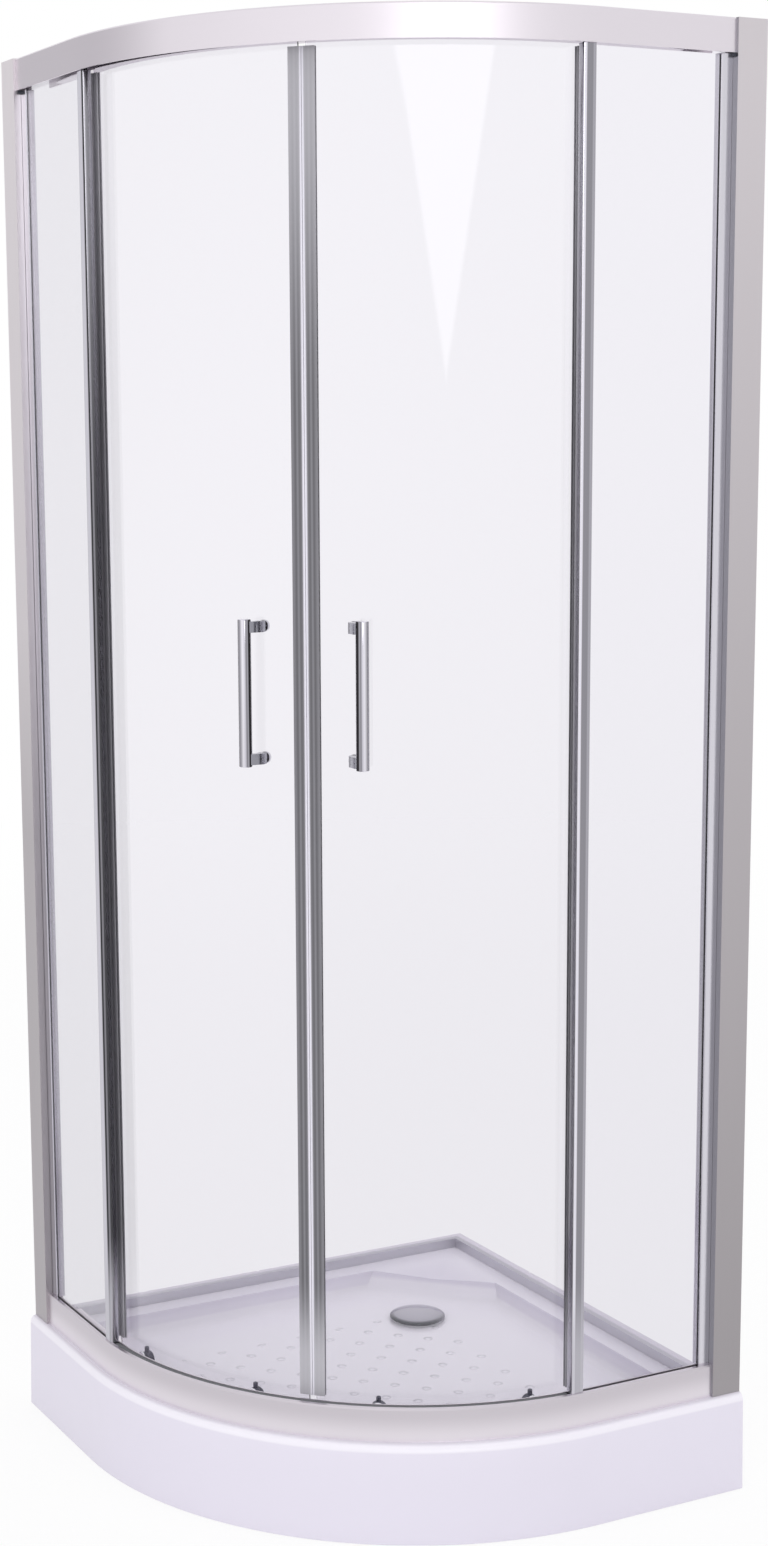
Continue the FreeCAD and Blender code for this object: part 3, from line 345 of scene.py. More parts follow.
# %% Acrylic with anti-slip bumps
BUMP_PITCH_X = 0.035        # between columns of bumps
BUMP_PITCH_Y = 0.035        # between rows; every second place is empty
BUMP_RADIUS = 0.0085
BUMP_HEIGHT = 0.0021
LATTICE_X = -0.009          # place of one bump of the lattice
LATTICE_Y = 0.005
FLOOR_HEIGHT = 0.1005       # only the floor of the basin is below this
APRON_TOP = 0.136
BASIN_TOP = 0.130           # upward faces below this belong to the basin
FEET_ZONE = 0.215           # the bumps stay this near to the middle
ACRYLIC_COLOUR = (0.800, 0.768, 0.862)
EDGE_HIGHLIGHT_COLOUR = (0.91, 0.885, 0.95)       # painted highlight along the rounded bead on top of the apron
RIM_SHADE_COLOUR = (0.62, 0.58, 0.63)         # painted shade on the rim above the bead, under the rail
# painted light on the upward faces of the basin
BASIN_LIT_COLOUR = (0.955, 0.935, 0.985)


def acrylic_finish():
    """Glossy white acrylic, with anti-slip bumps on the basin's floor, a painted highlight on the
    apron's bead, painted shade on the rim and painted light on the basin.
    """
    made = Finish("white_acrylic", Base_Color=ACRYLIC_COLOUR, Roughness=0.14,
                  Coat_Weight=0.25, Coat_Roughness=0.03)
    x, y, z = made.place()[:3]
    column = (x - LATTICE_X) / BUMP_PITCH_X
    row = (y - LATTICE_Y) / BUMP_PITCH_Y
    domes = []
    for shift in (0.0, 1.0):
        across = abs(made.node("ShaderNodeMath", {"operation": "PINGPONG"},
                               {0: column + shift, 1: 1.0})[0])
        along = abs(made.node("ShaderNodeMath", {"operation": "PINGPONG"},
                              {0: row + shift, 1: 1.0})[0])
        gap = ((across * BUMP_PITCH_X) ** 2.0 + (along * BUMP_PITCH_Y) ** 2.0) ** 0.5
        domes.append(1.0 - gap.rise(BUMP_RADIUS * 0.35, BUMP_RADIUS))
    inside = ((1.0 - z.rise(FLOOR_HEIGHT, FLOOR_HEIGHT + 0.001))
              * (1.0 - abs(x).rise(FEET_ZONE, FEET_ZONE + 0.002))
              * (1.0 - abs(y).rise(FEET_ZONE, FEET_ZONE + 0.002)))
    dome = (domes[0] + domes[1]) * inside
    wave = made.noise(6.0) * 0.15
    made.bump(dome + wave, 1.0, BUMP_HEIGHT)
    # Painted highlight along the apron's bead, and painted shade on the rim above it.
    rim = z.rise(APRON_TOP + 0.0075, APRON_TOP + 0.009)
    edge = z.band(APRON_TOP, APRON_TOP + 0.006, 0.004)
    body = made.blend(edge, ACRYLIC_COLOUR, EDGE_HIGHLIGHT_COLOUR)
    body = made.blend(rim * 0.35, body, RIM_SHADE_COLOUR)
    # Painted light: the basin's upward faces are painted lighter.
    upward = made.node("ShaderNodeSeparateXYZ", None, {0: made.normal()})[2].rise(0.10, 0.55)
    lit_basin_share = upward * (1.0 - z.rise(BASIN_TOP - 0.008, BASIN_TOP))
    made.set("Base Color", made.blend(lit_basin_share, body, BASIN_LIT_COLOUR))
    return made


acrylic = acrylic_finish()
print("acrylic nodes:", len(acrylic.tree.nodes))

# %% [markdown]
# ## Satin rails
#
# The curved rails are aluminium, anodised after a fine brushing, so their reflections are blurred.
# The grain is noise stretched round the rail. The bottom rail's upper edge and the flat left stretch
# of the top rail mirror a darker part of the room, which is painted on them as a darker grey.

# %% Rail finish
RAIL_COLOUR = (0.93, 0.88, 0.925)
# painted reflection of a darker part of the room
RAIL_SHADE = (0.62, 0.58, 0.62)


def rail_finish():
    """Satin aluminium with its grain round the shower, and a darker grey painted on two stretches as
    reflection.
    """
    made = Finish("satin_rail", Metallic=1.0, Roughness=0.32)
    made.uneven(260.0, 0.10, (0.05, 0.05, 6.0))
    flat_share = made.outer_share(0.90, 1.00) * made.on_left()
    z = made.place()[2]
    lower_rail = 1.0 - z.rise(0.9, 1.0)
    upper_edge = z.rise(0.150, 0.185) * lower_rail
    # Painted reflection: darker on the bottom rail's upper edge and the top rail's flat left
    # stretch.
    shade = upper_edge * 0.6 + flat_share * (1.0 - lower_rail) * 0.9
    made.set("Base Color", made.blend(shade, RAIL_COLOUR, RAIL_SHADE))
    return made


rail_metal = rail_finish()
print("rail nodes:", len(rail_metal.tree.nodes))

# %% [markdown]
# ## Wall profiles
#
# The upright channels on the walls are the same aluminium, brushed along their length. An upright
# face mirrors the room from dark floor to bright ceiling, so a painted reflection makes its grey
# rise with the height, and painted shade darkens its sides and the right half.

# %% Wall profile finish
TOP = cad_bounds[1][2]      # height of the shower
PROFILE_SHADED_SIDE = (0.36, 0.355, 0.38)      # painted shade on the sides that look along the wall, on the right half


def wall_profile_finish():
    """Satin aluminium with a painted reflection that gets paler with its height, and painted shade
    on its sides and the right half.
    """
    made = Finish("satin_profile", Metallic=1.0, Roughness=0.34)
    made.uneven(700.0, 0.10, (1.0, 1.0, 0.02))
    height_share = made.place()[2] / TOP
    # Painted reflection that grows paler with height; the right half is painted darker as shade.
    left_face = made.shades(height_share, [(0.10, 0.52), (0.45, 0.56), (0.60, 0.74), (0.97, 0.84)],
                            warm_grey)
    right_face = made.shades(height_share, [(0.10, 0.44), (0.55, 0.59), (0.97, 0.78)], warm_grey)
    lit_face = made.blend(made.on_left(), right_face, left_face)
    side_face = made.blend(made.on_left(), PROFILE_SHADED_SIDE, left_face)
    made.set("Base Color", made.blend(made.outer_share(), side_face, lit_face))
    return made


wall_metal = wall_profile_finish()
print("wall profile nodes:", len(wall_metal.tree.nodes))

# %% [markdown]
# ## Glazing profiles
#
# These slide in the wall profiles and are polished brighter. A drawn and polished profile mirrors
# the room in fine upright lines of painted reflection, which are noise stretched far along the
# height. Near the top, and on the right half's outer face, the lines fade into a painted reflection
# of the bright ceiling.

# %% Glazing profile finish
# painted reflection of the bright ceiling
CEILING_REFLECTION_COLOUR = (0.90, 0.885, 0.94)
CEILING_FROM = 1.35         # above this, polished uprights begin to mirror the ceiling
CEILING_FULL = 2.00


def glazing_profile_finish():
    """Polished aluminium with fine upright lines of painted reflection, and a painted ceiling
    reflection near the top and on the right half's outer face.
    """
    made = Finish("bright_profile", Metallic=1.0, Roughness=0.20)
    made.uneven(500.0, 0.08, (1.0, 1.0, 0.02))
    lines = made.noise(220.0, 2.0, (1.0, 1.0, 0.002))
    mirrored_lines = made.shades(lines, [(0.35, 0.42), (0.50, 0.56), (0.65, 0.72)])
    # Painted ceiling reflection near the top and on the right half's outer face.
    near_top = made.place()[2].rise(CEILING_FROM, CEILING_FULL)
    right_reflection_share = (1.0 - made.on_left()) * made.outer_share() * 0.8
    made.set("Base Color", made.blend((near_top * 0.6).at_least(right_reflection_share), mirrored_lines,
                                      CEILING_REFLECTION_COLOUR))
    return made


glazing_metal = glazing_profile_finish()
print("glazing profile nodes:", len(glazing_metal.tree.nodes))

# %% [markdown]
# ## Chrome of small parts
#
# Chrome mirrors everything sharply and shows only a breath of unevenness. The handles' posts stand
# in the shade of their bars, so their chrome is painted darker as painted shade.

# %% Chrome
chrome = Finish("chrome", Base_Color=(0.80, 0.80, 0.84), Metallic=1.0, Roughness=0.05)
chrome.uneven(30.0, 0.03)

# painted shade: darker chrome on the posts, which stand under their bars
shaded_post_chrome = Finish("shaded_post_chrome", Base_Color=(0.36, 0.36, 0.40), Metallic=1.0, Roughness=0.12)
shaded_post_chrome.uneven(60.0, 0.06)
print("chromes:", chrome.material.name, shaded_post_chrome.material.name)

# %% [markdown]
# ## Chrome of the waste cover
#
# A dome in the corner of the basin mirrors the pale walls above it, and round its rim the dark edge
# of the room; both are painted on as reflections. The distance from its middle draws the painted
# rim, darkest on the side of the doors.

# %% Waste cover finish
COVER_LOW, COVER_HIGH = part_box("drain_cover")
COVER_RADIUS = (COVER_HIGH.x - COVER_LOW.x) / 2
COVER_X = (COVER_LOW.x + COVER_HIGH.x) / 2
COVER_Y = (COVER_LOW.y + COVER_HIGH.y) / 2
# painted reflection of the dark edge of the room
COVER_DARK_REFLECTION = (0.07, 0.075, 0.085)


def cover_finish():
    """Chrome with a painted reflection: pale in the middle, with a dark rim on the side of the
    doors.
    """
    made = Finish("cover_chrome", Metallic=1.0, Roughness=0.08)
    x, y = made.place()[:2]
    from_middle = ((x - COVER_X) ** 2.0 + (y - COVER_Y) ** 2.0) ** 0.5 / COVER_RADIUS
    nearer = ((COVER_X + COVER_Y - x - y) / (2 * COVER_RADIUS)).rise(-0.2, 0.6)
    # Painted reflection of the pale walls, greying towards the rim.
    domed = made.shades(from_middle, [(0.0, 0.62), (0.60, 0.58), (0.86, 0.50), (0.97, 0.36)])
    reflected_rim_share = nearer * from_middle.rise(0.80, 0.96) * 0.9
    made.set("Base Color", made.blend(reflected_rim_share, domed, COVER_DARK_REFLECTION))
    return made


cover_chrome = cover_finish()
print("waste cover nodes:", len(cover_chrome.tree.nodes))

# %% [markdown]
# ## Wall strips and steel
#
# The strips along the walls are satin metal. The screws and the nuts under the tray are dull
# zinc-plated steel, blotched a little by the plating.

# %% Strips and steel
strip_metal = Finish("satin_strip", Base_Color=(0.62, 0.61, 0.66), Metallic=0.9, Roughness=0.40)
strip_metal.uneven(300.0, 0.08)

zinc = Finish("zinc_steel", Base_Color=(0.62, 0.62, 0.64), Metallic=1.0, Roughness=0.35)
zinc.uneven(90.0, 0.15)
print("metals:", strip_metal.material.name, zinc.material.name)

# %% [markdown]
# ## Polished bars
#
# A polished round bar squeezes the whole studio into narrow upright streaks: doors, dark gaps and
# lamps. Lighting that truthfully needs a full studio, so we lay the streaks on the bar instead. The
# surface normal tells how far round the bar a spot lies, and a colour ramp turns that into the grey
# it mirrors. The darkest streak is on the side of the meeting line, so the signal changes sign
# from one bar to the other.

# %% Bar chrome
ACROSS_BAR = 332.6          # azimuth square to the line from the camera to the bars


def bar_finish():
    """Chrome with painted reflection streaks laid round the bar."""
    made = Finish("bar_chrome", Metallic=1.0, Roughness=0.06)
    side_sign = made.on_left() * 2.0 - 1.0
    round_bar = made.toward(made.normal(), ACROSS_BAR) * side_sign * 0.5 + 0.5
    streaks = [(0.00, 0.32), (0.15, 0.38), (0.34, 0.96), (0.50, 0.76), (0.64, 0.24), (0.72, 0.50),
               (0.82, 0.03), (0.93, 0.03), (1.00, 0.40)]
    made.set("Base Color", made.shades(round_bar, streaks))
    made.uneven(30.0, 0.03)
    return made


bar_chrome = bar_finish()
print("bar nodes:", len(bar_chrome.tree.nodes))

# %% [markdown]
# ## Ends of the fixed panes
#
# The slim polished profile on the free edge of each fixed pane has two sides in sight: an outer
# face, and an end that looks at the door. Each gets a few plain bands of painted reflection. The
# larger of x and y is the distance along the pane and the smaller one the depth, on both halves of
# the shower. One ramp along each of those distances draws the bands of each half. Near the top and
# near the tray the bands fade into painted reflections of the ceiling and the tray.

# %% Polished end profile
END_LOW, END_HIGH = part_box("end_profile_right")
PROFILE_START = END_LOW.x   # from the middle of the shower to the profile's free end
PROFILE_WIDTH = END_HIGH.x - END_LOW.x
PROFILE_FACE = END_LOW.y    # place of its outer face
PROFILE_DEPTH = END_HIGH.y - END_LOW.y
TRAY_REFLECTION_TOP = 0.37       # below this, pieces near the doors get a painted reflection of the pale tray
TRAY_REFLECTION_FULL = 0.24
# painted reflections of the ceiling and of the tray
END_CEILING_REFLECTION = (0.62, 0.61, 0.66)
END_TRAY_REFLECTION = (0.66, 0.65, 0.70)


def end_profile_finish():
    """Polished aluminium with upright bands of painted reflection on its two sides in sight, paler
    near the top and near the tray.
    """
    made = Finish("polished_end_profile", Metallic=1.0, Roughness=0.16)
    x, y, z = made.place()[:3]
    left = made.on_left()
    along = (x.at_least(y) - PROFILE_START) / PROFILE_WIDTH
    deep = (x.at_most(y) - PROFILE_FACE) / PROFILE_DEPTH
    # Painted reflection bands on the outer face and the end, one ramp for each half.
    left_face = made.shades(along, [(0.16, 0.02), (0.36, 0.72), (0.93, 0.72), (1.0, 0.45)])
    right_face = made.shades(along, [(0.22, 0.95), (0.29, 0.34), (0.72, 0.34), (0.80, 0.48)])
    face = made.blend(left, right_face, left_face)
    left_end = made.shades(deep, [(0.0, 0.19), (0.20, 0.32), (0.28, 0.09), (1.0, 0.07)])
    right_end = made.shades(deep, [(0.0, 0.34), (0.12, 0.24), (1.0, 0.24)])
    end = made.blend(left, right_end, left_end)
    near_top = z.rise(CEILING_FROM, CEILING_FULL)
    near_tray = 1.0 - z.rise(TRAY_REFLECTION_FULL, TRAY_REFLECTION_TOP)
    end = made.blend(near_top * 0.45, end, END_CEILING_REFLECTION)
    surface = made.blend(made.outer_share(), end, face)
    made.set("Base Color", made.blend(near_tray * 0.75, surface, END_TRAY_REFLECTION))
    made.uneven(400.0, 0.06, (1.0, 1.0, 0.02))
    return made


end_metal = end_profile_finish()
print("end profile nodes:", len(end_metal.tree.nodes))

# %% [markdown]
# ## Glass
#
# The panes are clear float glass with a trace of colour. Light that crosses a pane is tinted a
# little, and each face mirrors a few percent. Painted shade deepens the tint towards the floor and
# on the left half.

# %% Glass
def clear_glass(name, tint, left_shade_share):
    """Clear glass, with painted shade that deepens it towards the floor and on the left side."""
    made = Finish(name, Roughness=0.0, IOR=1.5, Transmission_Weight=1.0)
    deeper = tuple(value * 0.90 for value in tint)
    shaded = tuple(value * left_shade_share for value in tint)
    cloud = made.noise(1.5) * 0.1
    # Painted shade: the tint deepens towards the floor and on the left half.
    body = made.blend(made.place()[2].rise(-0.3, 2.3) * 0.9 + cloud, deeper, tint)
    made.set("Base Color", made.blend(made.on_left() * (1.0 - cloud), body, made.blend(
        made.place()[2].rise(-0.3, 1.6), tuple(value * 0.92 for value in shaded), shaded)))
    return made


# the last number is painted shade on the left half
door_glass = clear_glass("door_glass", (0.915, 0.900, 0.945), 0.985)
fixed_glass = clear_glass("fixed_glass", (0.900, 0.886, 0.935), 0.915)
print("glasses:", door_glass.material.name, fixed_glass.material.name)

# %% [markdown]
# ## Seals
#
# The seals are soft clear plastic over the edge of the glass, which looks grey because it bends the
# light away, so that grey is painted on as shade; the magnet's nose is pale plastic with a painted
# highlight. The distance from the doors' meeting line draws the nose, the legs and the groove in
# each leg as stripes of painted shade and highlight. Near the top and near the tray the legs get a
# painted reflection.

# %% Seals
MEETING_HALF = 0.017        # from the meeting line of the doors to the far edge of a seal's leg
SEAL_CEILING_REFLECTION_FROM = 1.55       # above this, the legs begin to get a painted reflection of the ceiling
SEAL_CEILING_REFLECTION_FULL = 2.04
# painted reflection of the ceiling and the tray on the legs
SEAL_REFLECTION_COLOUR = (0.55, 0.54, 0.58)


def seal_finish():
    """Clear plastic painted grey as shade, with stripes of painted shade and highlight, a pale nose
    with a painted highlight, and painted reflections near the top and the tray.
    """
    made = Finish("grey_seal", Roughness=0.3)
    x, y, z = made.place()[:3]
    from_meeting = abs(x - y) * math.sqrt(0.5) / MEETING_HALF
    # Stripes of painted shade and highlight across the nose and the legs.
    stripes = made.shades(from_meeting, [(0.13, 0.78), (0.25, 0.18), (0.42, 0.12), (0.57, 0.23),
                                         (0.74, 0.11), (0.95, 0.21)])
    near_top = z.rise(SEAL_CEILING_REFLECTION_FROM, SEAL_CEILING_REFLECTION_FULL)
    near_tray = 1.0 - z.rise(TRAY_REFLECTION_FULL, TRAY_REFLECTION_TOP)
    nose = 1.0 - from_meeting.rise(0.14, 0.24)
    # Painted reflection near the top and the tray, kept off the nose.
    pale = (near_top * 0.68 + near_tray * 0.80).at_most(1.0) * (1.0 - nose)
    made.set("Base Color", made.blend(pale, stripes, SEAL_REFLECTION_COLOUR))
    return made


seal_clear = seal_finish()
print("seal nodes:", len(seal_clear.tree.nodes))

# %% [markdown]
# ## Plastics, rubber and board
#
# Housings, wheels, stops and feet are moulded, so one function makes them all from a colour, a
# roughness and the size of a fine grain. The board under the tray is pressed from wood flakes.

# %% Plastics, rubber and board
def plastic(name, colour, roughness, scale=400.0, amount=0.12):
    """A moulded plastic or rubber with a fine grain."""
    made = Finish(name, Base_Color=colour, Roughness=roughness)
    made.uneven(scale, amount)
    made.bump(made.noise(scale * 2.0), 0.15, 0.0002)
    return made


dark_plastic = plastic("dark_plastic", (0.045, 0.048, 0.062), 0.42)
block_plastic = plastic("block_plastic", (0.36, 0.36, 0.39), 0.42)
housing_plastic = plastic("housing_plastic", (0.10, 0.105, 0.135), 0.38)
white_plastic = plastic("white_plastic", (0.80, 0.81, 0.82), 0.35)
wheel_plastic = plastic("wheel_plastic", (0.70, 0.70, 0.68), 0.40)
rubber = plastic("grey_rubber", (0.16, 0.165, 0.175), 0.60)
black_rubber = plastic("black_rubber", (0.03, 0.03, 0.034), 0.60)
grey_paint = plastic("frame_paint", (0.50, 0.51, 0.53), 0.45, 120.0)

board = plastic("wood_board", (0.42, 0.31, 0.19), 0.80, 60.0)
flakes = board.noise(60.0, 6.0, (1.0, 0.35, 1.0))
board.set("Base Color", board.blend(flakes.rise(0.35, 0.65), (0.33, 0.23, 0.13),
                                    (0.52, 0.40, 0.26)))
print("finishes:", len(bpy.data.materials))

# %% [markdown]
# ## Turned pieces
#
# Handles, caps, buttons and the waste cover are all bodies of revolution. `lathe` turns a list of
# (radius, height) points about an axis, with enough steps to look round from close by. Their real
# shapes have softened edges, which `soft_corner` adds as a short arc of points.

# %% The lathe
LATHE_STEPS = 64
LATHE_SHARP_DEGREES = 50.0  # edges of turned pieces that bend more than this stay sharp


def soft_corner(radius, height, reach, rising):
    """Points of a rounded corner at a rim: rising at the foot of a piece, falling at its head."""
    points = []
    for step in range(6):
        turn = math.radians(90.0 * step / 5.0)
        if rising:
            points.append((radius - reach * (1 - math.sin(turn)),
                           height + reach * (1 - math.cos(turn))))
        else:
            points.append((radius - reach * (1 - math.cos(turn)),
                           height - reach * (1 - math.sin(turn))))
    return points


def lathe(name, points, placing):
    """A closed mesh turned from points, first and last on the axis, moved by a matrix."""
    work = bmesh.new()
    rings = []
    for radius, height in points:
        if radius < 1e-7:
            rings.append([work.verts.new((0.0, 0.0, height))])
            continue
        turns = [2 * math.pi * step / LATHE_STEPS for step in range(LATHE_STEPS)]
        rings.append([work.verts.new((radius * math.cos(turn), radius * math.sin(turn), height))
                      for turn in turns])
    for lower, upper in zip(rings, rings[1:]):
        for step in range(LATHE_STEPS):
            after = (step + 1) % LATHE_STEPS
            if len(lower) == 1:
                work.faces.new((lower[0], upper[after], upper[step]))
            elif len(upper) == 1:
                work.faces.new((lower[step], lower[after], upper[0]))
            else:
                work.faces.new((lower[step], lower[after], upper[after], upper[step]))
    bmesh.ops.recalc_face_normals(work, faces=work.faces)
    mesh = bpy.data.meshes.new(name)
    work.to_mesh(mesh)
    work.free()
    mesh.transform(placing)
    weld(mesh, LATHE_SHARP_DEGREES)
    return mesh


def upright_at(spot):
    """A placing that keeps a turned piece upright and moves it to a spot."""
    return Matrix.Translation(spot)


def facing(spot, out):
    """A placing whose height axis points along out."""
    return Matrix.Translation(spot) @ out.to_track_quat("Z", "Y").to_matrix().to_4x4()


def join(name, meshes):
    """One mesh from several."""
    work = bmesh.new()
    for mesh in meshes:
        work.from_mesh(mesh)
        bpy.data.meshes.remove(mesh)
    made = bpy.data.meshes.new(name)
    work.to_mesh(made)
    work.free()
    return made


# %% [markdown]
# ## Handles and buttons
#
# The CAD bars are plain rods with a bevel and the buttons plain pins. The real ones have soft
# edges, so we turn new ones in the same boxes.

# %% Turn the handles and buttons
SOFT_EDGE = 0.0016          # reach of the rounded edges of bars and buttons


def middle_of(low, high):
    """The middle of the foot of a box."""
    return Vector(((low.x + high.x) / 2, (low.y + high.y) / 2, low.z))


turned_nodes = set()
for side in ("left", "right"):
    node = "handle_bar_" + side
    low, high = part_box(node)
    radius = (high.x - low.x) / 2
    length = high.z - low.z
    outline = ([(0.0, 0.0)] + soft_corner(radius, 0.0, SOFT_EDGE, True)
               + soft_corner(radius, length, SOFT_EDGE, False) + [(0.0, length)])
    mesh = lathe(node + ".turned", outline, upright_at(middle_of(low, high)))
    piece(node + ".turned", mesh, bar_chrome, body_of_node(node), [node])
    turned_nodes.add(node)
    for place in ("front", "rear"):
        node = "release_button_%s_%s" % (place, side)
        low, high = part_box(node)
        radius = (high.x - low.x) / 2
        length = high.z - low.z
        outline = ([(0.0, 0.0), (radius, 0.0)] + soft_corner(radius, length, SOFT_EDGE, False)
                   + [(0.0, length)])
        mesh = lathe(node + ".turned", outline, upright_at(middle_of(low, high)))
        piece(node + ".turned", mesh, housing_plastic, body_of_node(node),
              [node])
        turned_nodes.add(node)
print("turned bars and buttons:", len(turned_nodes))

# %% [markdown]
# ## Waste cover
#
# The cover is a shallow pressed dome with a rolled lip, on three round feet that stand in the waste
# flange. Its outline runs from the hollow underneath, round the lip and up the dome to the middle.

# %% Turn the waste cover
COVER_RISE = 0.0075         # of the dome, above its lip
COVER_LIP = 0.0012          # height of the lip's upright edge
COVER_FOOT_RADIUS = 0.0024
COVER_FOOT_PLACE = 0.0236   # from the middle of the cover
COVER_FOOT_TURNS = (30.0, 150.0, 270.0)

cover_place = middle_of(COVER_LOW, COVER_HIGH)
rim = COVER_HIGH.z - COVER_LOW.z - COVER_RISE
dome = [(COVER_RADIUS * math.cos(math.radians(turn)),
         rim + COVER_LIP + (COVER_RISE - COVER_LIP) * math.sin(math.radians(turn)))
        for turn in range(0, 90, 6)]
hollow = [(0.0, rim + 0.002), (COVER_RADIUS - 0.004, rim + 0.0018), (COVER_RADIUS - 0.003, rim),
          (COVER_RADIUS, rim + 0.0004)]
outline = hollow + dome + [(0.0, rim + COVER_RISE)]
cover = [lathe("cover_dome", outline, upright_at(cover_place))]
for turn in COVER_FOOT_TURNS:
    spot = cover_place + Vector((COVER_FOOT_PLACE * math.cos(math.radians(turn)),
                                 COVER_FOOT_PLACE * math.sin(math.radians(turn)), 0.0))
    foot = [(0.0, 0.0), (COVER_FOOT_RADIUS - 0.0002, 0.0), (COVER_FOOT_RADIUS, 0.001),
            (COVER_FOOT_RADIUS, rim + 0.003), (0.0, rim + 0.003)]
    cover.append(lathe("cover_foot", foot, upright_at(spot)))
mesh = join("drain_cover.turned", cover)
piece("drain_cover.turned", mesh, cover_chrome, body_of_node("drain_cover"),
      ["drain_cover"])
turned_nodes.add("drain_cover")
print("turned pieces:", len(turned_nodes))

# %% [markdown]
# ## Roller caps
#
# A small chrome cap covers each roller's hub on the outside of the glass. The record already
# knows where every wheel's axle is, so each cap is placed from its wheel's joint: out along the
# axle to the face of the glass. The lower hubs sit a little above their wheels.

# %% Turn the roller caps
CAP_RADIUS = 0.008
CAP_HEIGHT = 0.0025
WHEEL_TO_GLASS_FACE = 0.01252      # along the axle
LOWER_HUB_RISE = 0.0095


def outward(joint):
    """The level direction of a wheel's axle that points out of the shower."""
    axis = Vector(joint["axis"])
    return axis if axis.x + axis.y < 0 else -axis


cap_outline = ([(0.0, 0.0), (CAP_RADIUS, 0.0), (CAP_RADIUS, CAP_HEIGHT * 0.4)]
               + [(CAP_RADIUS * math.cos(math.radians(turn)),
                   CAP_HEIGHT * (0.4 + 0.6 * math.sin(math.radians(turn))))
                  for turn in range(15, 90, 15)] + [(0.0, CAP_HEIGHT)])
for side in ("left", "right"):
    caps = []
    for joint in frame["record"]["behaviour"]["joints"]:
        if not joint["name"].startswith(side) or "wheel" not in joint["name"]:
            continue
        rise = LOWER_HUB_RISE if "bottom" in joint["name"] else 0.0
        spot = Vector(joint["pos_m"]) + outward(joint) * WHEEL_TO_GLASS_FACE
        caps.append(lathe("cap", cap_outline, facing(spot + Vector((0, 0, rise)),
                                                     outward(joint))))
    node = "roller_caps_" + side
    piece(node + ".turned", join(node + ".turned", caps), chrome, body_of_node(node),
          [node])
    turned_nodes.add(node)
print("roller caps:", len(caps), "on each door")

# %% [markdown]
# ## Rail screws
#
# The blocks in the ends of the rails hook into the wall profiles, and a small screw holds each one
# from the shower side. A screw head is a low dome with a cross in it; the cross is two slots
# pressed into the middle of the dome.

# %% Screw heads on the wall profiles
SCREW_RADIUS = 0.0035
SCREW_HEIGHT = 0.0018
INNER_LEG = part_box("wall_profile_left")[1].x    # the profile's side that faces the shower
SCREW_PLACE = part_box("wall_profile_left")[0].y + 0.012      # 12 mm behind its free edge
SCREW_HEIGHTS = (0.1708, 2.0595)        # at the bottom and the top rail


def screw_head(placing):
    """A domed head with a cross recess."""
    outline = [(0.0, 0.0), (SCREW_RADIUS, 0.0), (SCREW_RADIUS, SCREW_HEIGHT * 0.3)]
    for turn in range(15, 90, 15):
        outline.append((SCREW_RADIUS * math.cos(math.radians(turn)),
                        SCREW_HEIGHT * (0.3 + 0.7 * math.sin(math.radians(turn)))))
    outline.append((0.0, SCREW_HEIGHT))
    mesh = lathe("screw_head", outline, Matrix.Identity(4))
    for vertex in mesh.vertices:
        across = min(abs(vertex.co.x), abs(vertex.co.y))
        reach = vertex.co.xy.length
        if vertex.co.z > SCREW_HEIGHT * 0.5 and across < 0.0004 and reach < SCREW_RADIUS * 0.6:
            vertex.co.z -= SCREW_HEIGHT * 0.45
    mesh.transform(placing)
    return mesh


screws = []
for height in SCREW_HEIGHTS:
    screws.append(screw_head(facing(Vector((INNER_LEG, SCREW_PLACE, height)), Vector((1, 0, 0)))))
    screws.append(screw_head(facing(Vector((SCREW_PLACE, INNER_LEG, height)), Vector((0, 1, 0)))))
piece("rail_screws", join("rail_screws", screws), zinc, "enclosure")
print("rail screws:", len(screws))

# %% [markdown]
# ## Give every other node its finish
#
# The tray, rails, profiles and small parts keep the CAD shapes, so this step is a table from each
# node's slot to a finish. The panes cast no shadow: real glass hardly does, and a renderer would
# spend its time on the light that the glass focuses.

# %% Dress the nodes
FINISH_OF_SLOT = {
    "acrylic": acrylic, "board": board, "frame_steel": grey_paint, "foot_plastic": black_rubber,
    "zinc_steel": zinc, "waste_plastic": white_plastic, "strip_metal": strip_metal,
    "rail_metal": rail_metal, "profile_metal": wall_metal, "bright_metal": glazing_metal,
    "fixed_pane": fixed_glass, "door_pane": door_glass, "seal_plastic": seal_clear,
    "magnet_rubber": black_rubber, "sill_rubber": rubber, "stop_rubber": block_plastic,
    "dark_plastic": dark_plastic, "handle_chrome": shaded_post_chrome, "nut_chrome": chrome,
    "wheel_plastic": wheel_plastic, "housing_plastic": housing_plastic,
}
for node in sorted(set(frame["nodes"]) - turned_nodes):
    finish = FINISH_OF_SLOT[slot_of_node(node)]
    if node.startswith("end_profile"):
        finish = end_metal
    if node.startswith("rail_blocks"):
        finish = block_plastic
    dressed = dress(node, finish)
    if "glass" in node:
        dressed.visible_shadow = False
print("dressed:", len(frame["nodes"]) - len(turned_nodes))

# %% [markdown]
# ## Floor
#
# A plain pale floor. To the camera it is mixed with plain white, so that it meets the white
# background without a line and still keeps a soft shadow under the tray.

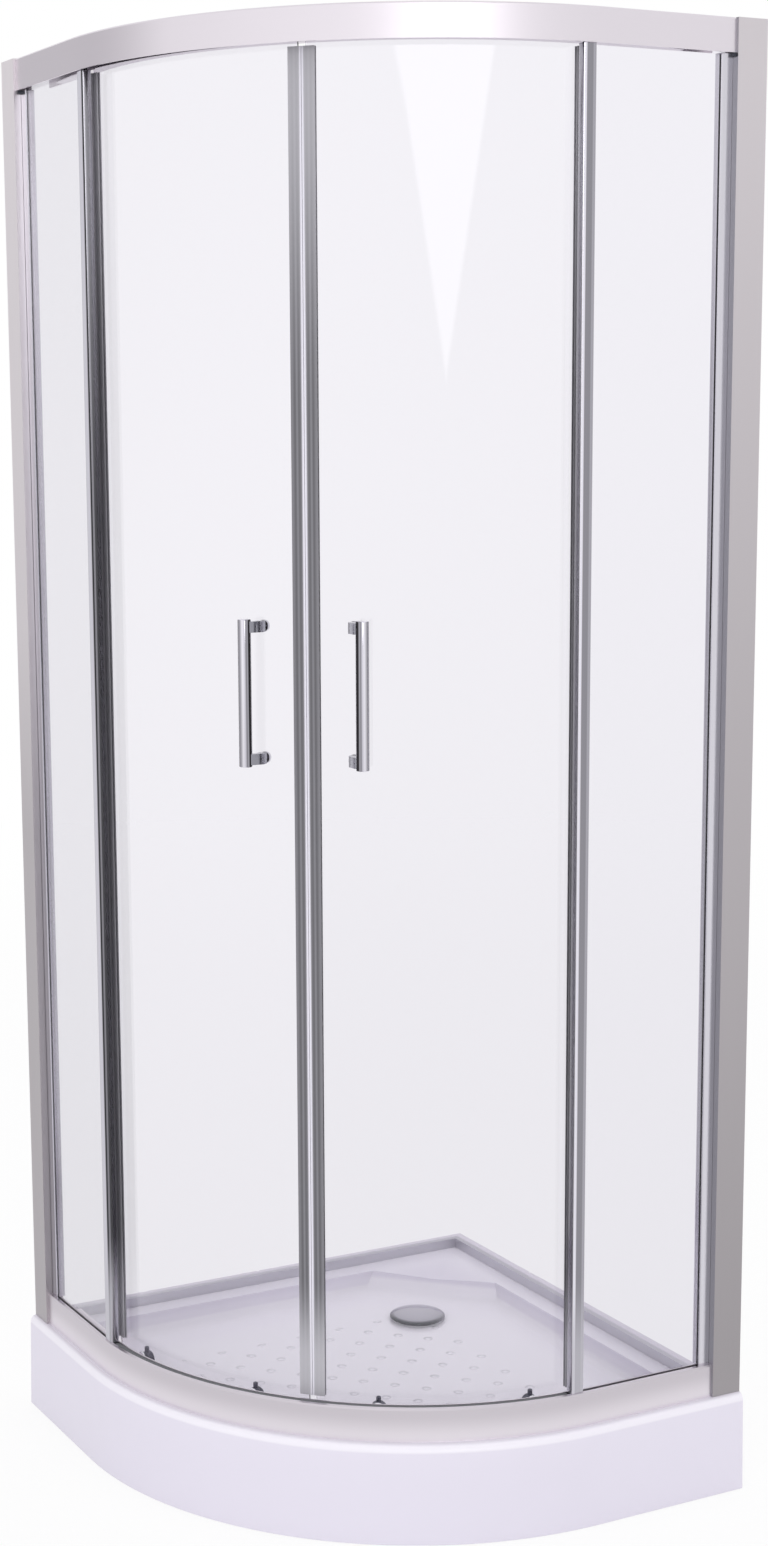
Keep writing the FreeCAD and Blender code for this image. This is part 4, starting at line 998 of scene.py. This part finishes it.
# %% Studio floor
FLOOR_REACH = 30.0
FLOOR_PLACE = -0.001        # just under the feet
corners = [(FLOOR_REACH * along, FLOOR_REACH * across, FLOOR_PLACE)
           for along, across in ((-1, -1), (1, -1), (1, 1), (-1, 1))]
floor_mesh = bpy.data.meshes.new("studio_floor")
floor_mesh.from_pydata(corners, [], [(0, 1, 2, 3)])
studio_floor = bpy.data.objects.new("studio_floor", floor_mesh)
bpy.context.scene.collection.objects.link(studio_floor)
floor_paint = Finish("floor_paint", Base_Color=(0.93, 0.93, 0.93), Roughness=0.9,
                     Specular_IOR_Level=0.0)
glow = floor_paint.node("ShaderNodeEmission", None, {"Color": (1.0, 1.0, 1.0), "Strength": 1.0})[0]
surface = Signal(floor_paint, floor_paint.shader.outputs[0])
x, y = floor_paint.place()[:2]
plain = 0.86 + ((x * x + y * y) ** 0.5).rise(1.5, 6.0) * 0.14
mixed = floor_paint.node("ShaderNodeMixShader", None,
                         {0: floor_paint.seen() * plain, 1: surface, 2: glow})[0]
floor_paint.feed(floor_paint.tree.nodes["Material Output"].inputs[0], mixed)
floor_mesh.materials.append(floor_paint.material)
studio_floor.visible_glossy = False
print("floor reaches", FLOOR_REACH, "metres to each side")

# %% [markdown]
# ## World
#
# The world gives most of the light, evenly. Metal and glass are only as lively as what they
# mirror, so mirrored rays see a studio that is brightest straight in front of the doors. Above eye
# level it also holds a bright softbox, wide at its top and narrow at its foot, which the right
# door and the middle of the top rail mirror. To the camera, and through glass, the world is plain
# white.

# %% Studio world
FRONT = 225.0               # azimuth of the doors' meeting line, seen from the middle
SOFTBOX_AZIMUTH = 253.4
SOFTBOX_FOOT = 0.010        # upward part of a direction at the softbox's foot
SOFTBOX_SPREAD = 2.10       # half its width for each unit above the foot
SOFTBOX_TOP = 0.20
SOFTBOX_LIGHT = 1.9         # what it adds to the mirrored studio
FRONT_LIGHT = 0.14          # what the studio adds straight in front of the doors
MIRRORED_LIGHT = 0.80       # the rest of the mirrored studio
EVEN_LIGHT = 0.86           # what falls on every surface


def studio_world():
    """A pale studio with a mirrored softbox, plain white to the camera."""
    world = bpy.data.worlds.new("studio")
    bpy.context.scene.world = world
    world.use_nodes = True
    made = Network(world.node_tree)
    made.tree.nodes.clear()
    direction = made.node("ShaderNodeTexCoord")[0]
    split = made.node("ShaderNodeSeparateXYZ", None, {0: direction})
    flat = made.node("ShaderNodeCombineXYZ", None, {0: split[0], 1: split[1], 2: 0.0})[0]
    level = made.node("ShaderNodeVectorMath", {"operation": "NORMALIZE"}, {0: flat})[0]
    upper = split[2].rise(-0.30, 0.00)
    front = made.toward(level, FRONT).at_least(0.0) ** 2.0 * upper * FRONT_LIGHT
    width = (split[2] - SOFTBOX_FOOT) * SOFTBOX_SPREAD
    sideways = abs(made.toward(level, SOFTBOX_AZIMUTH + 90.0))
    below_top = 1.0 - split[2].rise(SOFTBOX_TOP - 0.03, SOFTBOX_TOP)
    softbox = ((width - sideways).rise(0.0, 0.03) * below_top
               * made.toward(level, SOFTBOX_AZIMUTH).rise(0.0, 0.1))
    mirrored = MIRRORED_LIGHT + front + softbox * SOFTBOX_LIGHT
    glossy = made.node("ShaderNodeLightPath")[GLOSSY_RAY]
    strength = EVEN_LIGHT + glossy * (mirrored - EVEN_LIGHT)
    soft = made.node("ShaderNodeBackground", None, {0: (0.985, 0.98, 1.0), 1: strength})[0]
    white = made.node("ShaderNodeBackground", None, {0: (1.0, 1.0, 1.0), 1: 1.0})[0]
    mixed = made.node("ShaderNodeMixShader", None, {0: made.seen(), 1: soft, 2: white})[0]
    made.node("ShaderNodeOutputWorld", None, {0: mixed})
    return made


print("world nodes:", len(studio_world().tree.nodes))

# %% [markdown]
# ## Soft lights
#
# Two large softboxes give the pieces a little form. They are hidden from mirrored rays and from
# rays through the glass, because the world already holds what those should show.

# %% Softboxes
def soft_light(name, place, target, size, power):
    """A square softbox that looks at a target."""
    data = bpy.data.lights.new(name, "AREA")
    data.shape = "SQUARE"
    data.size = size
    data.energy = power
    lamp = bpy.data.objects.new(name, data)
    bpy.context.scene.collection.objects.link(lamp)
    lamp.location = place
    lamp.rotation_euler = (Vector(target) - Vector(place)).to_track_quat("-Z", "Y").to_euler()
    lamp.visible_glossy = False
    lamp.visible_transmission = False
    return lamp


soft_light("front_softbox", (-3.6, -3.6, 2.6), (0, 0, 0.8), 2.5, 42.0)
soft_light("top_softbox", (0.5, -0.5, 5.0), (0, 0, 0.5), 3.0, 40.0)
print("lamps:", len(bpy.data.lights))

# %% [markdown]
# ## Camera
#
# The place and turn of the camera were fitted to the photograph's straight edges. The photograph
# was cropped off centre, which a small shift of the lens reproduces.

# %% Camera where the photographer stood
PHOTO_WIDTH = 768
PHOTO_HEIGHT = 1546
FOCAL_PIXELS = 2443.42
CENTRE_X = 305.79           # where the lens looks, in pixels of the photograph
CENTRE_Y = 820.53
YAW = 0.4783                # the turns are in radians
PITCH = -0.1621
ROLL = -0.0088
CAMERA_PLACE = (-1.71168, -3.10319, 1.54726)
forward = Vector((math.sin(YAW) * math.cos(PITCH), math.cos(YAW) * math.cos(PITCH),
                  math.sin(PITCH)))
level = Vector((math.cos(YAW), -math.sin(YAW), 0.0))
above = level.cross(forward)
across = math.cos(ROLL) * level + math.sin(ROLL) * above
upward = math.cos(ROLL) * above - math.sin(ROLL) * level
camera_data = bpy.data.cameras.new("camera")
camera_data.sensor_width = 36.0
camera_data.lens = FOCAL_PIXELS * camera_data.sensor_width / PHOTO_HEIGHT
camera_data.shift_x = (PHOTO_WIDTH / 2 - CENTRE_X) / PHOTO_HEIGHT
camera_data.shift_y = (CENTRE_Y - PHOTO_HEIGHT / 2) / PHOTO_HEIGHT
camera_data.clip_end = 100.0
camera = bpy.data.objects.new("camera", camera_data)
bpy.context.scene.collection.objects.link(camera)
turn = Matrix((across, upward, -forward)).transposed().to_4x4()
camera.matrix_world = Matrix.Translation(CAMERA_PLACE) @ turn
bpy.context.scene.camera = camera
bpy.context.scene.view_settings.view_transform = "Standard"
print("lens:", round(camera_data.lens, 2), "mm")
